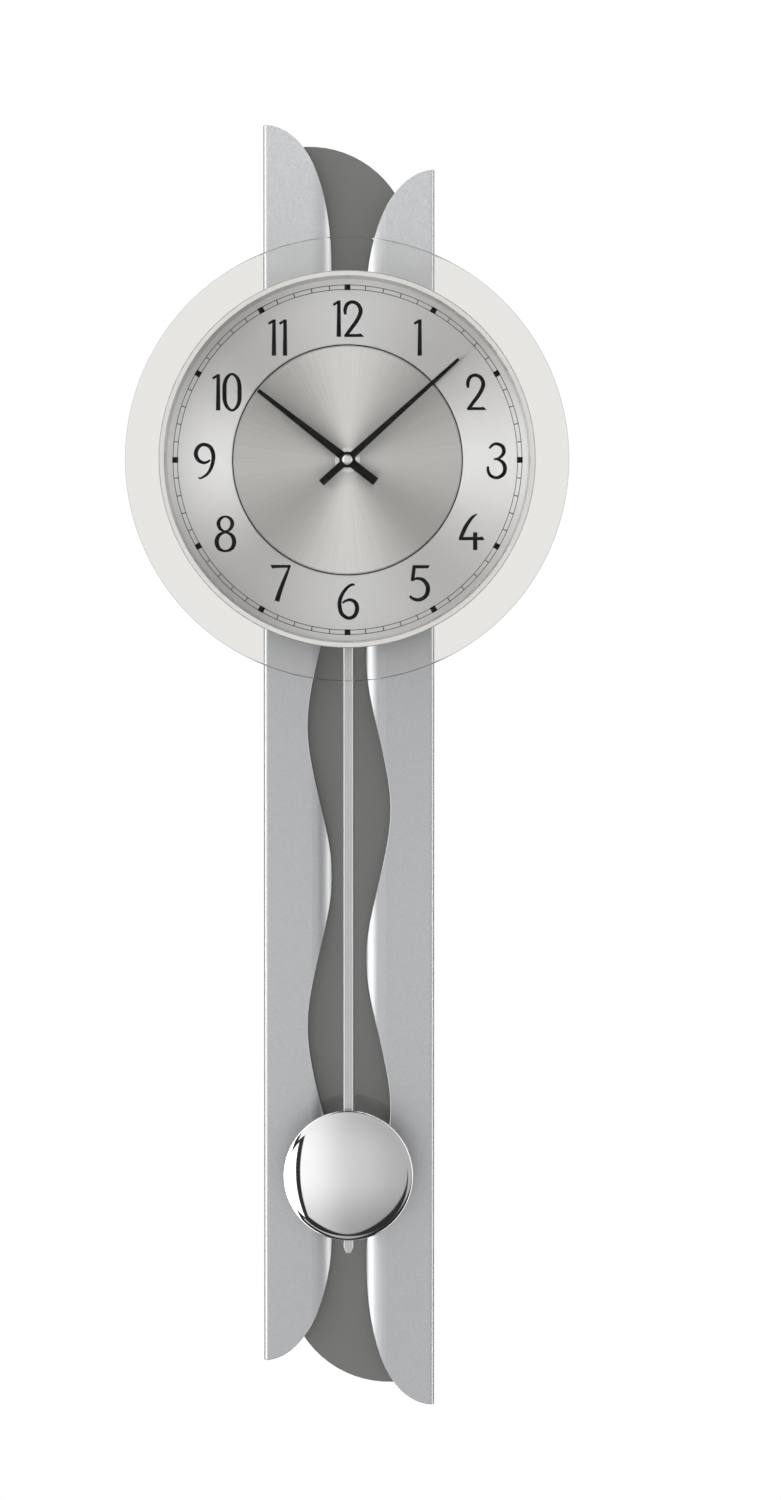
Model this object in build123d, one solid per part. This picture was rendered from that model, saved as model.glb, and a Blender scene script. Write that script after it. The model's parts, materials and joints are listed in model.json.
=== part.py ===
from build123d import *
from math import cos, pi, radians, sin
import os

# Pendulum wall clock. Millimetres, X to the right, +Z up, the front faces -Y.
# The origin is the centre of the keyhole's entry hole, on the wall plane.
# A depth is a distance from the wall towards the room, so y = -depth.

os.makedirs("parts", exist_ok=True)

# ---- overall places
DIAL_Z = -110.0            # dial centre, below the hanger
MID_Z = DIAL_Z - 160.5     # the body looks the same when turned half round about here

# ---- back board: lacquered fibreboard with round-cut ends
BOARD_BACK, BOARD_FRONT = 1.5, 19.5
BOARD_HALF_WIDTH = 33.0
BOARD_END_RADIUS = 54.0
BOARD_ARC_Z = 273.2        # height of the end arc's centre above mid-height
BOARD_EASE = 0.6
SERVICE_WIDTH, SERVICE_HEIGHT, SERVICE_RISE, SERVICE_CORNER = 44.0, 92.0, 8.0, 6.0

# ---- side panels: bent aluminium sheet with a waved inner edge
SHEET = 1.5
PANEL_FRONT = 28.0
PANEL_OUTER_X = 45.0
PANEL_TOP, PANEL_FOOT = 337.8, -314.3
FLANGE_DEPTH = 6.0
FLANGE_BEND = 2.2
ROLL_START_X = 19.5        # the inner zone rolls back towards the board from here
ROLL_RADIUS = 14.0
ROLL_ANGLE = 56.0
WAVE_MID_X, WAVE_SWING = 15.4, 6.5
WAVE_TOP, HALF_WAVE, HALF_WAVES = 260.5, 79.5, 6
TOP_FULLNESS, FOOT_FULLNESS = 0.62, 0.56
FOOT_START = -246.0
PANEL_EASE = 0.3           # the bright eased edge along the panels' cut outline

# ---- fasteners through the board
STANDOFF_X = 27.0
STANDOFF_ZS = (290.0, 75.0, -110.0, -260.0)   # left panel; the right one is turned half round
STANDOFF_RADIUS = 4.0
SCREW_RADIUS, SCREW_HOLE = 2.0, 2.2
HEAD_RADIUS, HEAD_HEIGHT, HEAD_ROUND = 3.8, 2.4, 1.2
RECESS_LENGTH, RECESS_WIDTH, RECESS_DEPTH = 4.0, 0.9, 1.2
COUNTERBORE, HEAD_ROOM = 3.0, 0.4
CASE_SCREW_Z = 64.0

# ---- wall hanger
HANGER_THICKNESS = 1.5
HANGER_HOLE, HANGER_SLOT = 4.5, 2.2
HANGER_SLOT_RISE = 9.0
HANGER_WIDTH, HANGER_HEIGHT, HANGER_RISE = 30.0, 48.0, 4.0
HANGER_SCREW_X, HANGER_SCREW_Z = 10.5, 19.0
POCKET_DEPTH, POCKET_WIDTH, POCKET_HEIGHT = 9.0, 12.0, 30.0
WOOD_SCREW_RADIUS, WOOD_SCREW_LENGTH, WOOD_SCREW_POINT = 1.5, 12.0, 2.0
SAW_SLOT_LENGTH, SAW_SLOT_WIDTH, SAW_SLOT_DEPTH = 6.5, 0.7, 0.6
BUMPER_RADIUS, BUMPER_X, BUMPER_Z = 6.0, 22.0, 225.0

# ---- dial case, bezel ring, dial and glass
CASE_RADIUS, CASE_WALL = 88.0, 2.5
CASE_BACK = PANEL_FRONT
CASE_BOSS_RADIUS, CASE_BOSS_HEIGHT, CASE_SCREW_BITE = 4.5, 12.0, 9.0
FLANGE_RADIUS, FLANGE_BACK = 93.9, 76.0
DIAL_BACK, DIAL_FRONT = 80.5, 82.0
ROD_SLOT_WIDTH, ROD_SLOT_BACK, ROD_SLOT_FRONT = 34.0, 48.0, 64.0
RING_OUTER, RING_BACK, RING_FRONT = 96.6, 75.0, 96.0
RING_LIP, RING_MOUTH, RING_EASE = 93.0, 94.0, 0.4
DIAL_RADIUS, DIAL_RECESS_RADIUS, DIAL_RECESS = 93.8, 59.8, 0.8
CENTRE_DISC_RADIUS = 58.5
DIAL_HOLE = 4.15
GLASS_RADIUS, GLASS_THICKNESS, GLASS_EDGE = 113.65, 4.0, 0.5
RING_SCREW_RADIUS, RING_SCREW_COUNT, RING_SCREW_BITE = 1.25, 4, 3.5

# ---- movement
MOVEMENT_BACK, MOVEMENT_JOIN, MOVEMENT_FRONT = 63.7, 71.7, 79.7
MOVEMENT_HALF_WIDTH, MOVEMENT_LOW, MOVEMENT_HIGH = 28.0, -28.0, 47.0
SHELL, SHELL_CORNER = 1.5, 3.0
BOSS_SINK, SOCKET = 0.5, 0.3     # how far a boss sinks into its wall, and a blind bearing too
BUSH_RADIUS, BUSH_BORE, BUSH_END = 3.95, 2.7, 86.0
BUSH_BACK, COLLAR_BACK, COLLAR_RADIUS = 77.0, 76.6, 6.0
WASHER_RADIUS, WASHER_FRONT, PAD_RADIUS = 6.4, 82.6, 14.0
NUT_CORNER_RADIUS, NUT_FRONT = 5.77, 84.9
HOUR_TUBE, HOUR_BORE, HOUR_TUBE_END = 2.65, 1.7, 88.4
ARBOR_RADIUS, ARBOR_END = 1.65, 90.8
ARBOR_FOOT_RADIUS, ARBOR_SHOULDER = 0.8, 68.6
FAST_ARBOR_RADIUS, FAST_BOSS_RADIUS = 0.35, 1.6
MOTION_ARBOR_RADIUS, MOTION_BOSS_RADIUS = 1.2, 2.4
BRIDGE_BACK, BRIDGE_FRONT, BRIDGE_POST_RADIUS = 71.6, 72.6, 1.6
FIT = 0.05                 # radial clearance of a running fit
BRIDGE_LOW, BRIDGE_HIGH = (-25.6, -15.6), (-6.2, 12.2)   # corners and posts, from the dial centre
BRIDGE_POSTS = ((-24.2, -12.0), (-24.2, 8.0), (-11.5, 10.5), (-8.0, -14.0))
BATTERY_X, BATTERY_RADIUS, BATTERY_LENGTH = 19.0, 7.1, 50.0
BATTERY_DEPTH, BATTERY_ROOM = 70.8, 0.3
BUTTON_RADIUS, BUTTON_HEIGHT = 2.6, 1.2
CONTACT_BACK, CONTACT_FRONT, CONTACT_SHEET, CONTACT_HALF = 66.0, 76.0, 0.4, 3.0
CONTACT_TAB = 14.0

# ---- gear train, turned from the minute arbor
MOTION_ANGLE, STEP_ANGLE, ROTOR_ANGLE = 100.0, 190.0, 200.0
TRAIN_MODULE, ROTOR_MODULE, MOTION_MODULE, HOUR_MODULE = 0.25, 0.2, 0.4, 0.384
CENTRE_TEETH, STEP_PINION_TEETH = 60, 8
STEP_WHEEL_TEETH, ROTOR_TEETH = 72, 6
CANNON_TEETH, MOTION_TEETH = 12, 36
MOTION_PINION_TEETH, HOUR_TEETH = 10, 40
TOOTH_SHARE, TIP_SHARE, PINION_SHARE = 0.36, 0.16, 0.30
WHEEL_ADDENDUM, WHEEL_DEDENDUM = 0.8, 1.15
LEAF_ADDENDUM, LEAF_DEDENDUM = 0.45, 1.1
CENTRE_WHEEL_BACK, CENTRE_WHEEL_FRONT, CENTRE_HUB_RADIUS, CENTRE_HUB_FRONT = 69.0, 70.0, 3.0, 70.8
CANNON_BACK, CANNON_FRONT = 71.0, 73.6
MOTION_BACK, MOTION_FRONT, MOTION_LEAF_FRONT = 71.7, 72.9, 76.4
MOTION_ARBOR_BACK, MOTION_ARBOR_FRONT = 61.0, 78.0
HOUR_WHEEL_BACK, HOUR_WHEEL_FRONT = 74.4, 75.6
STEP_WHEEL_BACK, STEP_WHEEL_FRONT, STEP_LEAF_FRONT = 67.2, 68.2, 70.6
ROTOR_LEAF_BACK, ROTOR_LEAF_FRONT = 66.8, 68.6
MAGNET_RADIUS, MAGNET_BACK, MAGNET_FRONT = 2.6, 69.0, 71.0
KNOB_RADIUS, KNOB_BACK, KNOB_FRONT, KNOB_GRIPS, GRIP_RADIUS = 4.6, 60.4, 63.2, 16, 0.45

# ---- electrical pieces
IRON_BACK, IRON_FRONT = 69.4, 70.4
STATOR_HALF_WIDTH, STATOR_FOOT, STATOR_REACH, STATOR_LIMB = 4.6, -24.0, 22.0, 4.0
STATOR_BORE = 3.2
MOTOR_COIL_RADIUS, MOTOR_COIL_LENGTH = 3.4, 14.0
BOARD_LOW, BOARD_HIGH = (-25.8, 16.5), (10.0, 44.5)    # circuit board corners from the dial centre
CIRCUIT_BACK, CIRCUIT_FRONT = 73.4, 74.4
CHIP_RADIUS, CHIP_HEIGHT = 3.0, 1.2
CRYSTAL_RADIUS, CRYSTAL_LENGTH = 1.0, 6.5

# ---- hands, in the pose of ten past ten
HOUR_ANGLE, MINUTE_ANGLE = 307.8, 48.0
HOUR_HAND_BACK, HOUR_HAND_THICK = 86.9, 0.8
MINUTE_HAND_BACK, MINUTE_HAND_THICK = 89.2, 0.7
HAND_BOSS_RADIUS = 4.05
HOUR_LENGTH, HOUR_TAIL, HOUR_ROOT, HOUR_TIP = 58.0, 18.5, 4.4, 2.0
MINUTE_LENGTH, MINUTE_TAIL, MINUTE_ROOT, MINUTE_TIP = 77.0, 18.0, 3.6, 1.6
CAP_RADIUS, CAP_HEIGHT, CAP_ROUND = 2.8, 2.4, 1.4

# ---- pendulum
PIVOT_RISE = 38.0
PIVOT_RADIUS, PIVOT_HEAD_RADIUS, PIVOT_HEAD_BACK, PIVOT_HEAD_FRONT = 1.2, 2.4, 55.6, 56.4
PIVOT_BOSS_RADIUS = 4.0
LEVER_BACK, LEVER_FRONT, LEVER_HUB = 57.4, 59.6, 1.2
LEVER_WIDTH, PEG_DROP = 8.0, 28.0
PEG_RADIUS, PEG_HEAD_RADIUS, PEG_HEAD_BACK, PEG_HEAD_FRONT = 1.4, 2.3, 53.2, 54.2
MAGNET_SEAT_RADIUS = 5.5
ROD_BACK, ROD_FRONT, ROD_WIDTH, ROD_BEVEL = 55.4, 56.6, 5.0, 0.6
ROD_TOP_DROP, ROD_TIP_DROP = 20.0, 414.2
ROD_POINT, ROD_POINT_HALF, ROD_EYE_RADIUS = 3.0, 1.0, 4.2
BOB_DROP, BOB_RADIUS = 372.7, 34.1
BOB_BACK, BOB_JOIN, BOB_RIM, BOB_FRONT = 57.4, 59.4, 60.8, 70.0
BOB_SHEET, BACK_SHEET, BACK_SLOPE = 0.8, 1.0, 2.0
BALLAST_RADIUS, BALLAST_HEIGHT = 22.0, 4.0
CLIP_HALF_WIDTH, CLIP_HALF_HEIGHT, CLIP_SHEET = 9.0, 6.0, 0.8
COIL_RISE = 26.0
DRIVE_COIL_RADIUS, DRIVE_COIL_BORE, DRIVE_COIL_HEIGHT = 6.5, 2.0, 3.4
DRIVE_MAGNET_RADIUS, DRIVE_MAGNET_HEIGHT = 4.0, 2.2

CLEAR = 1.0                # how far a cut runs past the piece it cuts
THROUGH = 110.0            # a depth in front of everything


# ---- drawing helpers

def layer(depth, x=0.0, z=DIAL_Z):
    """A drawing plane at a depth: x is X, y is Z, and it extrudes towards the room."""
    return Plane(origin=(x, -depth, z), x_dir=(1, 0, 0), z_dir=(0, -1, 0))


def block(sketch, back, front, x=0.0, z=DIAL_Z):
    """A flat outline made into a plate between two depths."""
    return extrude(layer(back, x, z) * sketch, front - back)


def disc(radius, back, front, x=0.0, z=DIAL_Z):
    return block(Circle(radius), back, front, x, z)


def tube(outer, inner, back, front, x=0.0, z=DIAL_Z):
    return block(Circle(outer) - Circle(inner), back, front, x, z)


def bore(radius, x=0.0, z=DIAL_Z):
    """A round cutter that goes through the whole clock."""
    return disc(radius, -CLEAR, THROUGH, x, z)


def turned(points, x=0.0, z=DIAL_Z):
    """A closed outline of (radius, depth) points turned about a line square to the wall."""
    plane = Plane(origin=(x, 0, z), x_dir=(1, 0, 0), z_dir=(0, 0, -1))
    return revolve(plane * make_face(Polyline(*points, close=True)), Axis((x, 0, z), (0, 1, 0)))


def box_between(low, high):
    """A box from a low corner to a high corner, each (x, depth, z)."""
    size = [b - a for a, b in zip(low, high)]
    middle = [(a + b) / 2 for a, b in zip(low, high)]
    return Pos(middle[0], -middle[1], middle[2]) * Box(*size)


def polar(radius, angle):
    """Offsets across and up, for an angle counted anticlockwise from three o'clock."""
    return radius * cos(radians(angle)), radius * sin(radians(angle))


def half_turn(shape):
    """The same shape turned half round about the middle of the body."""
    return shape.rotate(Axis((0, 0, MID_Z), (0, 1, 0)), 180)


def write(name, *solids):
    pieces = [solid for shape in solids for solid in shape.solids()]
    export_step(Compound(children=pieces) if len(pieces) > 1 else pieces[0], f"parts/{name}.step")


# ---- back board

def board_outline():
    """Straight sides, and an arc at each end that runs into one side and is cut by the other."""
    arc_x = BOARD_HALF_WIDTH - BOARD_END_RADIUS
    cut_x = -BOARD_HALF_WIDTH - arc_x
    cut_z = BOARD_ARC_Z + (BOARD_END_RADIUS**2 - cut_x**2) ** 0.5
    side = Line((BOARD_HALF_WIDTH, -cut_z), (BOARD_HALF_WIDTH, BOARD_ARC_Z))
    end = RadiusArc((BOARD_HALF_WIDTH, BOARD_ARC_Z), (-BOARD_HALF_WIDTH, cut_z), -BOARD_END_RADIUS)
    half = [side, end]
    return make_face(half + [edge.rotate(Axis.Z, 180) for edge in half])


def panel_screw_places():
    left = [(-STANDOFF_X, MID_Z + z) for z in STANDOFF_ZS]
    return left + [(-x, 2 * MID_Z - z) for x, z in left]


def case_screw_places():
    return [(x, DIAL_Z + z) for x in (-STANDOFF_X, STANDOFF_X) for z in (-CASE_SCREW_Z, CASE_SCREW_Z)]


def hanger_screw_places():
    return [(x, HANGER_RISE + z) for x in (-HANGER_SCREW_X, HANGER_SCREW_X)
            for z in (-HANGER_SCREW_Z, HANGER_SCREW_Z)]


def service_window(back, front):
    outline = RectangleRounded(SERVICE_WIDTH, SERVICE_HEIGHT, SERVICE_CORNER)
    return block(outline, back, front, 0, DIAL_Z + SERVICE_RISE)


def back_board():
    board = block(board_outline(), BOARD_BACK, BOARD_FRONT, 0, MID_Z)
    board = chamfer(board.faces().sort_by(Axis.Y)[0].edges(), BOARD_EASE)
    board -= service_window(0, BOARD_FRONT + CLEAR)
    pocket = RectangleRounded(POCKET_WIDTH, POCKET_HEIGHT, POCKET_WIDTH / 2 - 0.1)
    board -= block(pocket, 0, BOARD_BACK + POCKET_DEPTH, 0, HANGER_RISE)
    for x, z in panel_screw_places() + case_screw_places():
        board -= bore(SCREW_HOLE, x, z)
        board -= disc(HEAD_RADIUS + HEAD_ROOM, 0, BOARD_BACK + COUNTERBORE, x, z)
    for x, z in hanger_screw_places():
        board -= wood_screw(x, z)
    return board


# ---- side panels

def wave_x(z):
    """The inner edge's distance left of centre: a cosine wave down the panel."""
    return -WAVE_MID_X + WAVE_SWING * cos(pi * (WAVE_TOP - z) / HALF_WAVE)


def panel_outline():
    """The left panel from the front: full top sweep, waved inner edge, foot sweep."""
    wave_foot = WAVE_TOP - HALF_WAVES * HALF_WAVE
    inner_x = wave_x(WAVE_TOP)
    reach = inner_x + PANEL_OUTER_X
    top = Bezier(
        (-PANEL_OUTER_X, PANEL_TOP),
        (-PANEL_OUTER_X + TOP_FULLNESS * reach, PANEL_TOP),
        (inner_x, WAVE_TOP + TOP_FULLNESS * (PANEL_TOP - WAVE_TOP)),
        (inner_x, WAVE_TOP),
    )
    quarters = [WAVE_TOP - HALF_WAVE * n / 2 for n in range(2 * HALF_WAVES + 1)]
    wave = Spline(*[(wave_x(z), z) for z in quarters], tangents=[(0, -1), (0, -1)])
    run = Line((inner_x, wave_foot), (inner_x, FOOT_START))
    foot = Bezier(
        (inner_x, FOOT_START),
        (inner_x, FOOT_START - FOOT_FULLNESS * (FOOT_START - PANEL_FOOT)),
        (-PANEL_OUTER_X + FOOT_FULLNESS * reach, PANEL_FOOT),
        (-PANEL_OUTER_X, PANEL_FOOT),
    )
    side = Line((-PANEL_OUTER_X, PANEL_FOOT), (-PANEL_OUTER_X, PANEL_TOP))
    return make_face([top, wave, run, foot, side])


def panel_section():
    """The bent sheet from above, drawn as (x, depth): flange, flat face, rolled inner zone."""
    flat_back = PANEL_FRONT - SHEET
    outer, inner = -PANEL_OUTER_X, -PANEL_OUTER_X + SHEET
    bend = FLANGE_BEND
    centre = PANEL_FRONT - ROLL_RADIUS
    roll_x, roll_y = sin(radians(ROLL_ANGLE)), cos(radians(ROLL_ANGLE))
    small = ROLL_RADIUS - SHEET
    front_end = (-ROLL_START_X + ROLL_RADIUS * roll_x, centre + ROLL_RADIUS * roll_y)
    back_end = (-ROLL_START_X + small * roll_x, centre + small * roll_y)
    corner = (outer + bend, PANEL_FRONT)
    inner_corner = (outer + bend, flat_back)
    edges = [
        Line((outer, FLANGE_DEPTH), (outer, PANEL_FRONT - bend)),
        RadiusArc((outer, PANEL_FRONT - bend), corner, bend),
        Line(corner, (-ROLL_START_X, PANEL_FRONT)),
        RadiusArc((-ROLL_START_X, PANEL_FRONT), front_end, ROLL_RADIUS),
        Line(front_end, back_end),
        RadiusArc(back_end, (-ROLL_START_X, flat_back), -small),
        Line((-ROLL_START_X, flat_back), inner_corner),
        RadiusArc(inner_corner, (inner, PANEL_FRONT - bend), -(bend - SHEET)),
        Line((inner, PANEL_FRONT - bend), (inner, FLANGE_DEPTH)),
        Line((inner, FLANGE_DEPTH), (outer, FLANGE_DEPTH)),
    ]
    return make_face(edges)


def side_panel_blank():
    """The bent sheet cut to its front outline: the left panel before it is drilled."""
    foot = MID_Z + PANEL_FOOT - CLEAR
    above = Plane(origin=(0, 0, foot), x_dir=(1, 0, 0), z_dir=(0, 0, -1))
    sheet = extrude(above * panel_section(), -(PANEL_TOP - PANEL_FOOT + 2 * CLEAR))
    panel = sheet & block(panel_outline(), 0, PANEL_FRONT + CLEAR, 0, MID_Z)
    return chamfer(front_cut_edges(panel), PANEL_EASE)


def front_cut_edges(panel):
    """The edges where the cut outline meets the panel's flat front and its rolled inner zone."""
    flat = panel.faces().filter_by(Axis.Y).sort_by(Axis.Y)[0]
    roll = max(panel.faces().filter_by(GeomType.CYLINDER), key=lambda face: face.radius)
    edges = flat.edges() + roll.edges()
    straight = edges.filter_by(Axis.Z)
    outer_lines = straight.filter_by_position(Axis.X, -PANEL_OUTER_X, -ROLL_START_X + FIT)
    return [edge for edge in edges if edge not in outer_lines]


def drilled(panel):
    """The panel with its share of the service window and the case screws' holes."""
    panel -= service_window(BOARD_FRONT, PANEL_FRONT + CLEAR)
    for x, z in case_screw_places():
        panel -= bore(SCREW_HOLE, x, z)
    return panel


def left_side_panel():
    return drilled(side_panel_blank())


def right_side_panel():
    return drilled(half_turn(side_panel_blank()))


# ---- spacers and screws between the board, the panels and the case

def spacers(places):
    """Turned sleeves that hold the panels off the board."""
    return [tube(STANDOFF_RADIUS, SCREW_RADIUS, BOARD_FRONT, PANEL_FRONT - SHEET, x, z) for x, z in places]


def pan_screw(x, z, tip):
    """A pan-head screw from the board's counterbore to a tip depth, with a cross recess."""
    seat = BOARD_BACK + COUNTERBORE
    head = disc(HEAD_RADIUS, seat - HEAD_HEIGHT, seat, x, z)
    head = fillet(head.edges().sort_by(Axis.Y)[-1], HEAD_ROUND)
    for turn in (0, 90):
        slot = Rotation(0, 0, turn) * Rectangle(RECESS_LENGTH, RECESS_WIDTH)
        head -= block(slot, seat - HEAD_HEIGHT, seat - HEAD_HEIGHT + RECESS_DEPTH, x, z)
    return head + disc(SCREW_RADIUS, seat, tip, x, z)


def wood_screw(x, z):
    """A countersunk screw, its head flush with the hanger plate's back."""
    r, length = WOOD_SCREW_RADIUS, WOOD_SCREW_LENGTH
    return turned([(0, 0), (r + HANGER_THICKNESS, 0), (r, HANGER_THICKNESS),
                   (r, length - WOOD_SCREW_POINT), (0, length)], x, z)


def hanger_screws():
    slot = Rectangle(SAW_SLOT_LENGTH, SAW_SLOT_WIDTH)
    return [wood_screw(x, z) - block(slot, -CLEAR, SAW_SLOT_DEPTH, x, z) for x, z in hanger_screw_places()]


def wall_hanger_plate():
    plate = block(RectangleRounded(HANGER_WIDTH, HANGER_HEIGHT, 3), 0, HANGER_THICKNESS, 0, HANGER_RISE)
    plate -= bore(HANGER_HOLE, 0, 0)
    slot = Rectangle(2 * HANGER_SLOT, HANGER_SLOT_RISE)
    plate -= block(slot, -CLEAR, HANGER_THICKNESS + CLEAR, 0, HANGER_SLOT_RISE / 2)
    plate -= bore(HANGER_SLOT, 0, HANGER_SLOT_RISE)
    for x, z in hanger_screw_places():
        plate -= wood_screw(x, z)
    return plate


def wall_bumpers():
    """Soft pads at the board's corners that keep it parallel to the wall."""
    places = [(x, z) for x in (-BUMPER_X, BUMPER_X) for z in (-BUMPER_Z, BUMPER_Z)]
    return [disc(BUMPER_RADIUS, 0, BOARD_BACK, x, MID_Z + z) for x, z in places]


# ---- dial case, ring, dial and glass

def dial_case():
    """A drum open to the front: back wall, round wall, front flange and four screw bosses."""
    inner = CASE_RADIUS - CASE_WALL
    case = disc(CASE_RADIUS, CASE_BACK, FLANGE_BACK) + disc(FLANGE_RADIUS, FLANGE_BACK, DIAL_BACK)
    case -= disc(inner, CASE_BACK + CASE_WALL, DIAL_BACK + CLEAR)
    for x, z in case_screw_places():
        case += disc(CASE_BOSS_RADIUS, CASE_BACK, CASE_BACK + CASE_BOSS_HEIGHT, x, z)
        case -= disc(SCREW_RADIUS, CASE_BACK - CLEAR, CASE_BACK + CASE_SCREW_BITE + CLEAR, x, z)
    case -= service_window(CASE_BACK - CLEAR, CASE_BACK + CASE_WALL + CLEAR)
    half = ROD_SLOT_WIDTH / 2
    case -= box_between((-half, ROD_SLOT_BACK, DIAL_Z - CASE_RADIUS - CLEAR),
                        (half, ROD_SLOT_FRONT, DIAL_Z - inner + 3 * CLEAR))
    for screw in ring_screws():
        case -= screw
    return case


def ring_pins(start, end):
    """Four pins square to the ring, from one distance off the dial's axis to another."""
    depth = (FLANGE_BACK + DIAL_BACK) / 2
    pins = []
    for n in range(RING_SCREW_COUNT):
        angle = 45 + 360 / RING_SCREW_COUNT * n
        x, z = polar(start, angle)
        plane = Plane(origin=(x, -depth, DIAL_Z + z), z_dir=(x, 0, z))
        pins.append(extrude(plane * Circle(RING_SCREW_RADIUS), end - start))
    return pins


def ring_screws():
    """Grub screws through the ring's wall into the case flange."""
    return ring_pins(FLANGE_RADIUS - RING_SCREW_BITE, RING_OUTER - RING_EASE)


def bezel_ring():
    """A turned ring: it laps the dial's edge, and its mouth opens slightly to the glass."""
    ease = RING_EASE
    ring = turned([
        (FLANGE_RADIUS + FIT, RING_BACK), (FLANGE_RADIUS + FIT, DIAL_FRONT + FIT),
        (RING_LIP, DIAL_FRONT + FIT), (RING_MOUTH, RING_FRONT),
        (RING_OUTER - ease, RING_FRONT), (RING_OUTER, RING_FRONT - ease),
        (RING_OUTER, RING_BACK + ease), (RING_OUTER - ease, RING_BACK),
    ])
    for hole in ring_pins(RING_LIP - CLEAR, RING_OUTER + CLEAR):
        ring -= hole
    return ring


def dial_plate():
    plate = disc(DIAL_RADIUS, DIAL_BACK, DIAL_FRONT)
    plate -= disc(DIAL_RECESS_RADIUS, DIAL_FRONT - DIAL_RECESS, DIAL_FRONT + CLEAR)
    return plate - bore(DIAL_HOLE)


def dial_centre_disc():
    return tube(CENTRE_DISC_RADIUS, DIAL_HOLE, DIAL_FRONT - DIAL_RECESS, DIAL_FRONT)


def glass_disc():
    glass = disc(GLASS_RADIUS, RING_FRONT, RING_FRONT + GLASS_THICKNESS)
    return chamfer(glass.edges(), GLASS_EDGE)


# ---- movement housing

def shell_outline(inset=0.0):
    width = 2 * (MOVEMENT_HALF_WIDTH - inset)
    return RectangleRounded(width, MOVEMENT_HIGH - MOVEMENT_LOW - 2 * inset, SHELL_CORNER - inset / 2)


def shell_z():
    return DIAL_Z + (MOVEMENT_HIGH + MOVEMENT_LOW) / 2


def movement_front_shell():
    shell = block(shell_outline(), MOVEMENT_JOIN, MOVEMENT_FRONT, 0, shell_z())
    shell -= block(shell_outline(SHELL), MOVEMENT_JOIN - CLEAR, MOVEMENT_FRONT - SHELL, 0, shell_z())
    shell -= bore(BUSH_RADIUS)
    x, z = motion_axis()
    bearing = tube(MOTION_BOSS_RADIUS, MOTION_ARBOR_RADIUS + FIT, BUSH_BACK, MOVEMENT_FRONT - SHELL / 2, x, z)
    return shell + bearing


def movement_back_shell():
    """The rear half: battery bay, bearings for the arbors, and the pendulum's pivot boss."""
    wall = MOVEMENT_BACK + SHELL
    shell = block(shell_outline(), MOVEMENT_BACK, MOVEMENT_JOIN, 0, shell_z())
    shell -= block(shell_outline(SHELL), wall, MOVEMENT_JOIN + CLEAR, 0, shell_z())
    for x, z in bridge_post_places():
        shell += disc(BRIDGE_POST_RADIUS, wall - BOSS_SINK, BRIDGE_BACK, x, z)
    shell += disc(CENTRE_HUB_RADIUS, wall - BOSS_SINK, wall + SHELL)
    shell -= disc(ARBOR_FOOT_RADIUS + FIT, wall - SOCKET, ARBOR_SHOULDER)
    for x, z in (step_axis(), rotor_axis()):
        shell += disc(FAST_BOSS_RADIUS, wall - BOSS_SINK, wall + CLEAR, x, z)
        shell -= disc(FAST_ARBOR_RADIUS + FIT, wall - SOCKET, wall + 2 * CLEAR, x, z)
    shell -= bore(MOTION_ARBOR_RADIUS + FIT, *motion_axis())
    shell += disc(PIVOT_BOSS_RADIUS, MOVEMENT_BACK - SHELL, wall + SHELL, 0, DIAL_Z + PIVOT_RISE)
    shell -= bore(PIVOT_RADIUS, 0, DIAL_Z + PIVOT_RISE)
    bay = RectangleRounded(2 * (BATTERY_RADIUS + BATTERY_ROOM), BATTERY_LENGTH + 2 * BUTTON_HEIGHT, CLEAR)
    return shell - block(bay, 0, wall + CLEAR, BATTERY_X, DIAL_Z)


def threaded_bush():
    bush = tube(BUSH_RADIUS, BUSH_BORE, BUSH_BACK, BUSH_END)
    bush += tube(COLLAR_RADIUS, BUSH_BORE, COLLAR_BACK, MOVEMENT_FRONT - SHELL)
    return chamfer(bush.edges().sort_by(Axis.Y)[0], SOCKET)


def hex_nut():
    """A thin nut with its front corners turned off."""
    corner, flat = NUT_CORNER_RADIUS, NUT_CORNER_RADIUS * cos(radians(30))
    nut = block(RegularPolygon(corner, 6), WASHER_FRONT, NUT_FRONT)
    crown = turned([(0, WASHER_FRONT), (corner, WASHER_FRONT), (corner, NUT_FRONT - corner + flat),
                    (flat, NUT_FRONT), (0, NUT_FRONT)])
    return (nut & crown) - bore(BUSH_RADIUS)


# ---- gear train

def motion_axis():
    across, up = polar((CANNON_TEETH + MOTION_TEETH) * MOTION_MODULE / 2, MOTION_ANGLE)
    return across, DIAL_Z + up


def step_axis():
    across, up = polar((CENTRE_TEETH + STEP_PINION_TEETH) * TRAIN_MODULE / 2, STEP_ANGLE)
    return across, DIAL_Z + up


def rotor_axis():
    x, z = step_axis()
    across, up = polar((STEP_WHEEL_TEETH + ROTOR_TEETH) * ROTOR_MODULE / 2, ROTOR_ANGLE)
    return x + across, z + up


def bridge_post_places():
    return [(x, DIAL_Z + z) for x, z in BRIDGE_POSTS]


def wheel_outline(teeth, module, first_angle):
    """A wheel's outline: straight-flanked teeth that narrow to their tips."""
    pitch = 360 / teeth
    root = teeth * module / 2 - WHEEL_DEDENDUM * module
    tip = teeth * module / 2 + WHEEL_ADDENDUM * module
    points = []
    for n in range(teeth):
        middle = first_angle + n * pitch
        for radius, share in ((root, -TOOTH_SHARE), (tip, -TIP_SHARE), (tip, TIP_SHARE), (root, TOOTH_SHARE)):
            points.append(polar(radius, middle + share * pitch / 2))
    return make_face(Polyline(*points, close=True))


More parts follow.
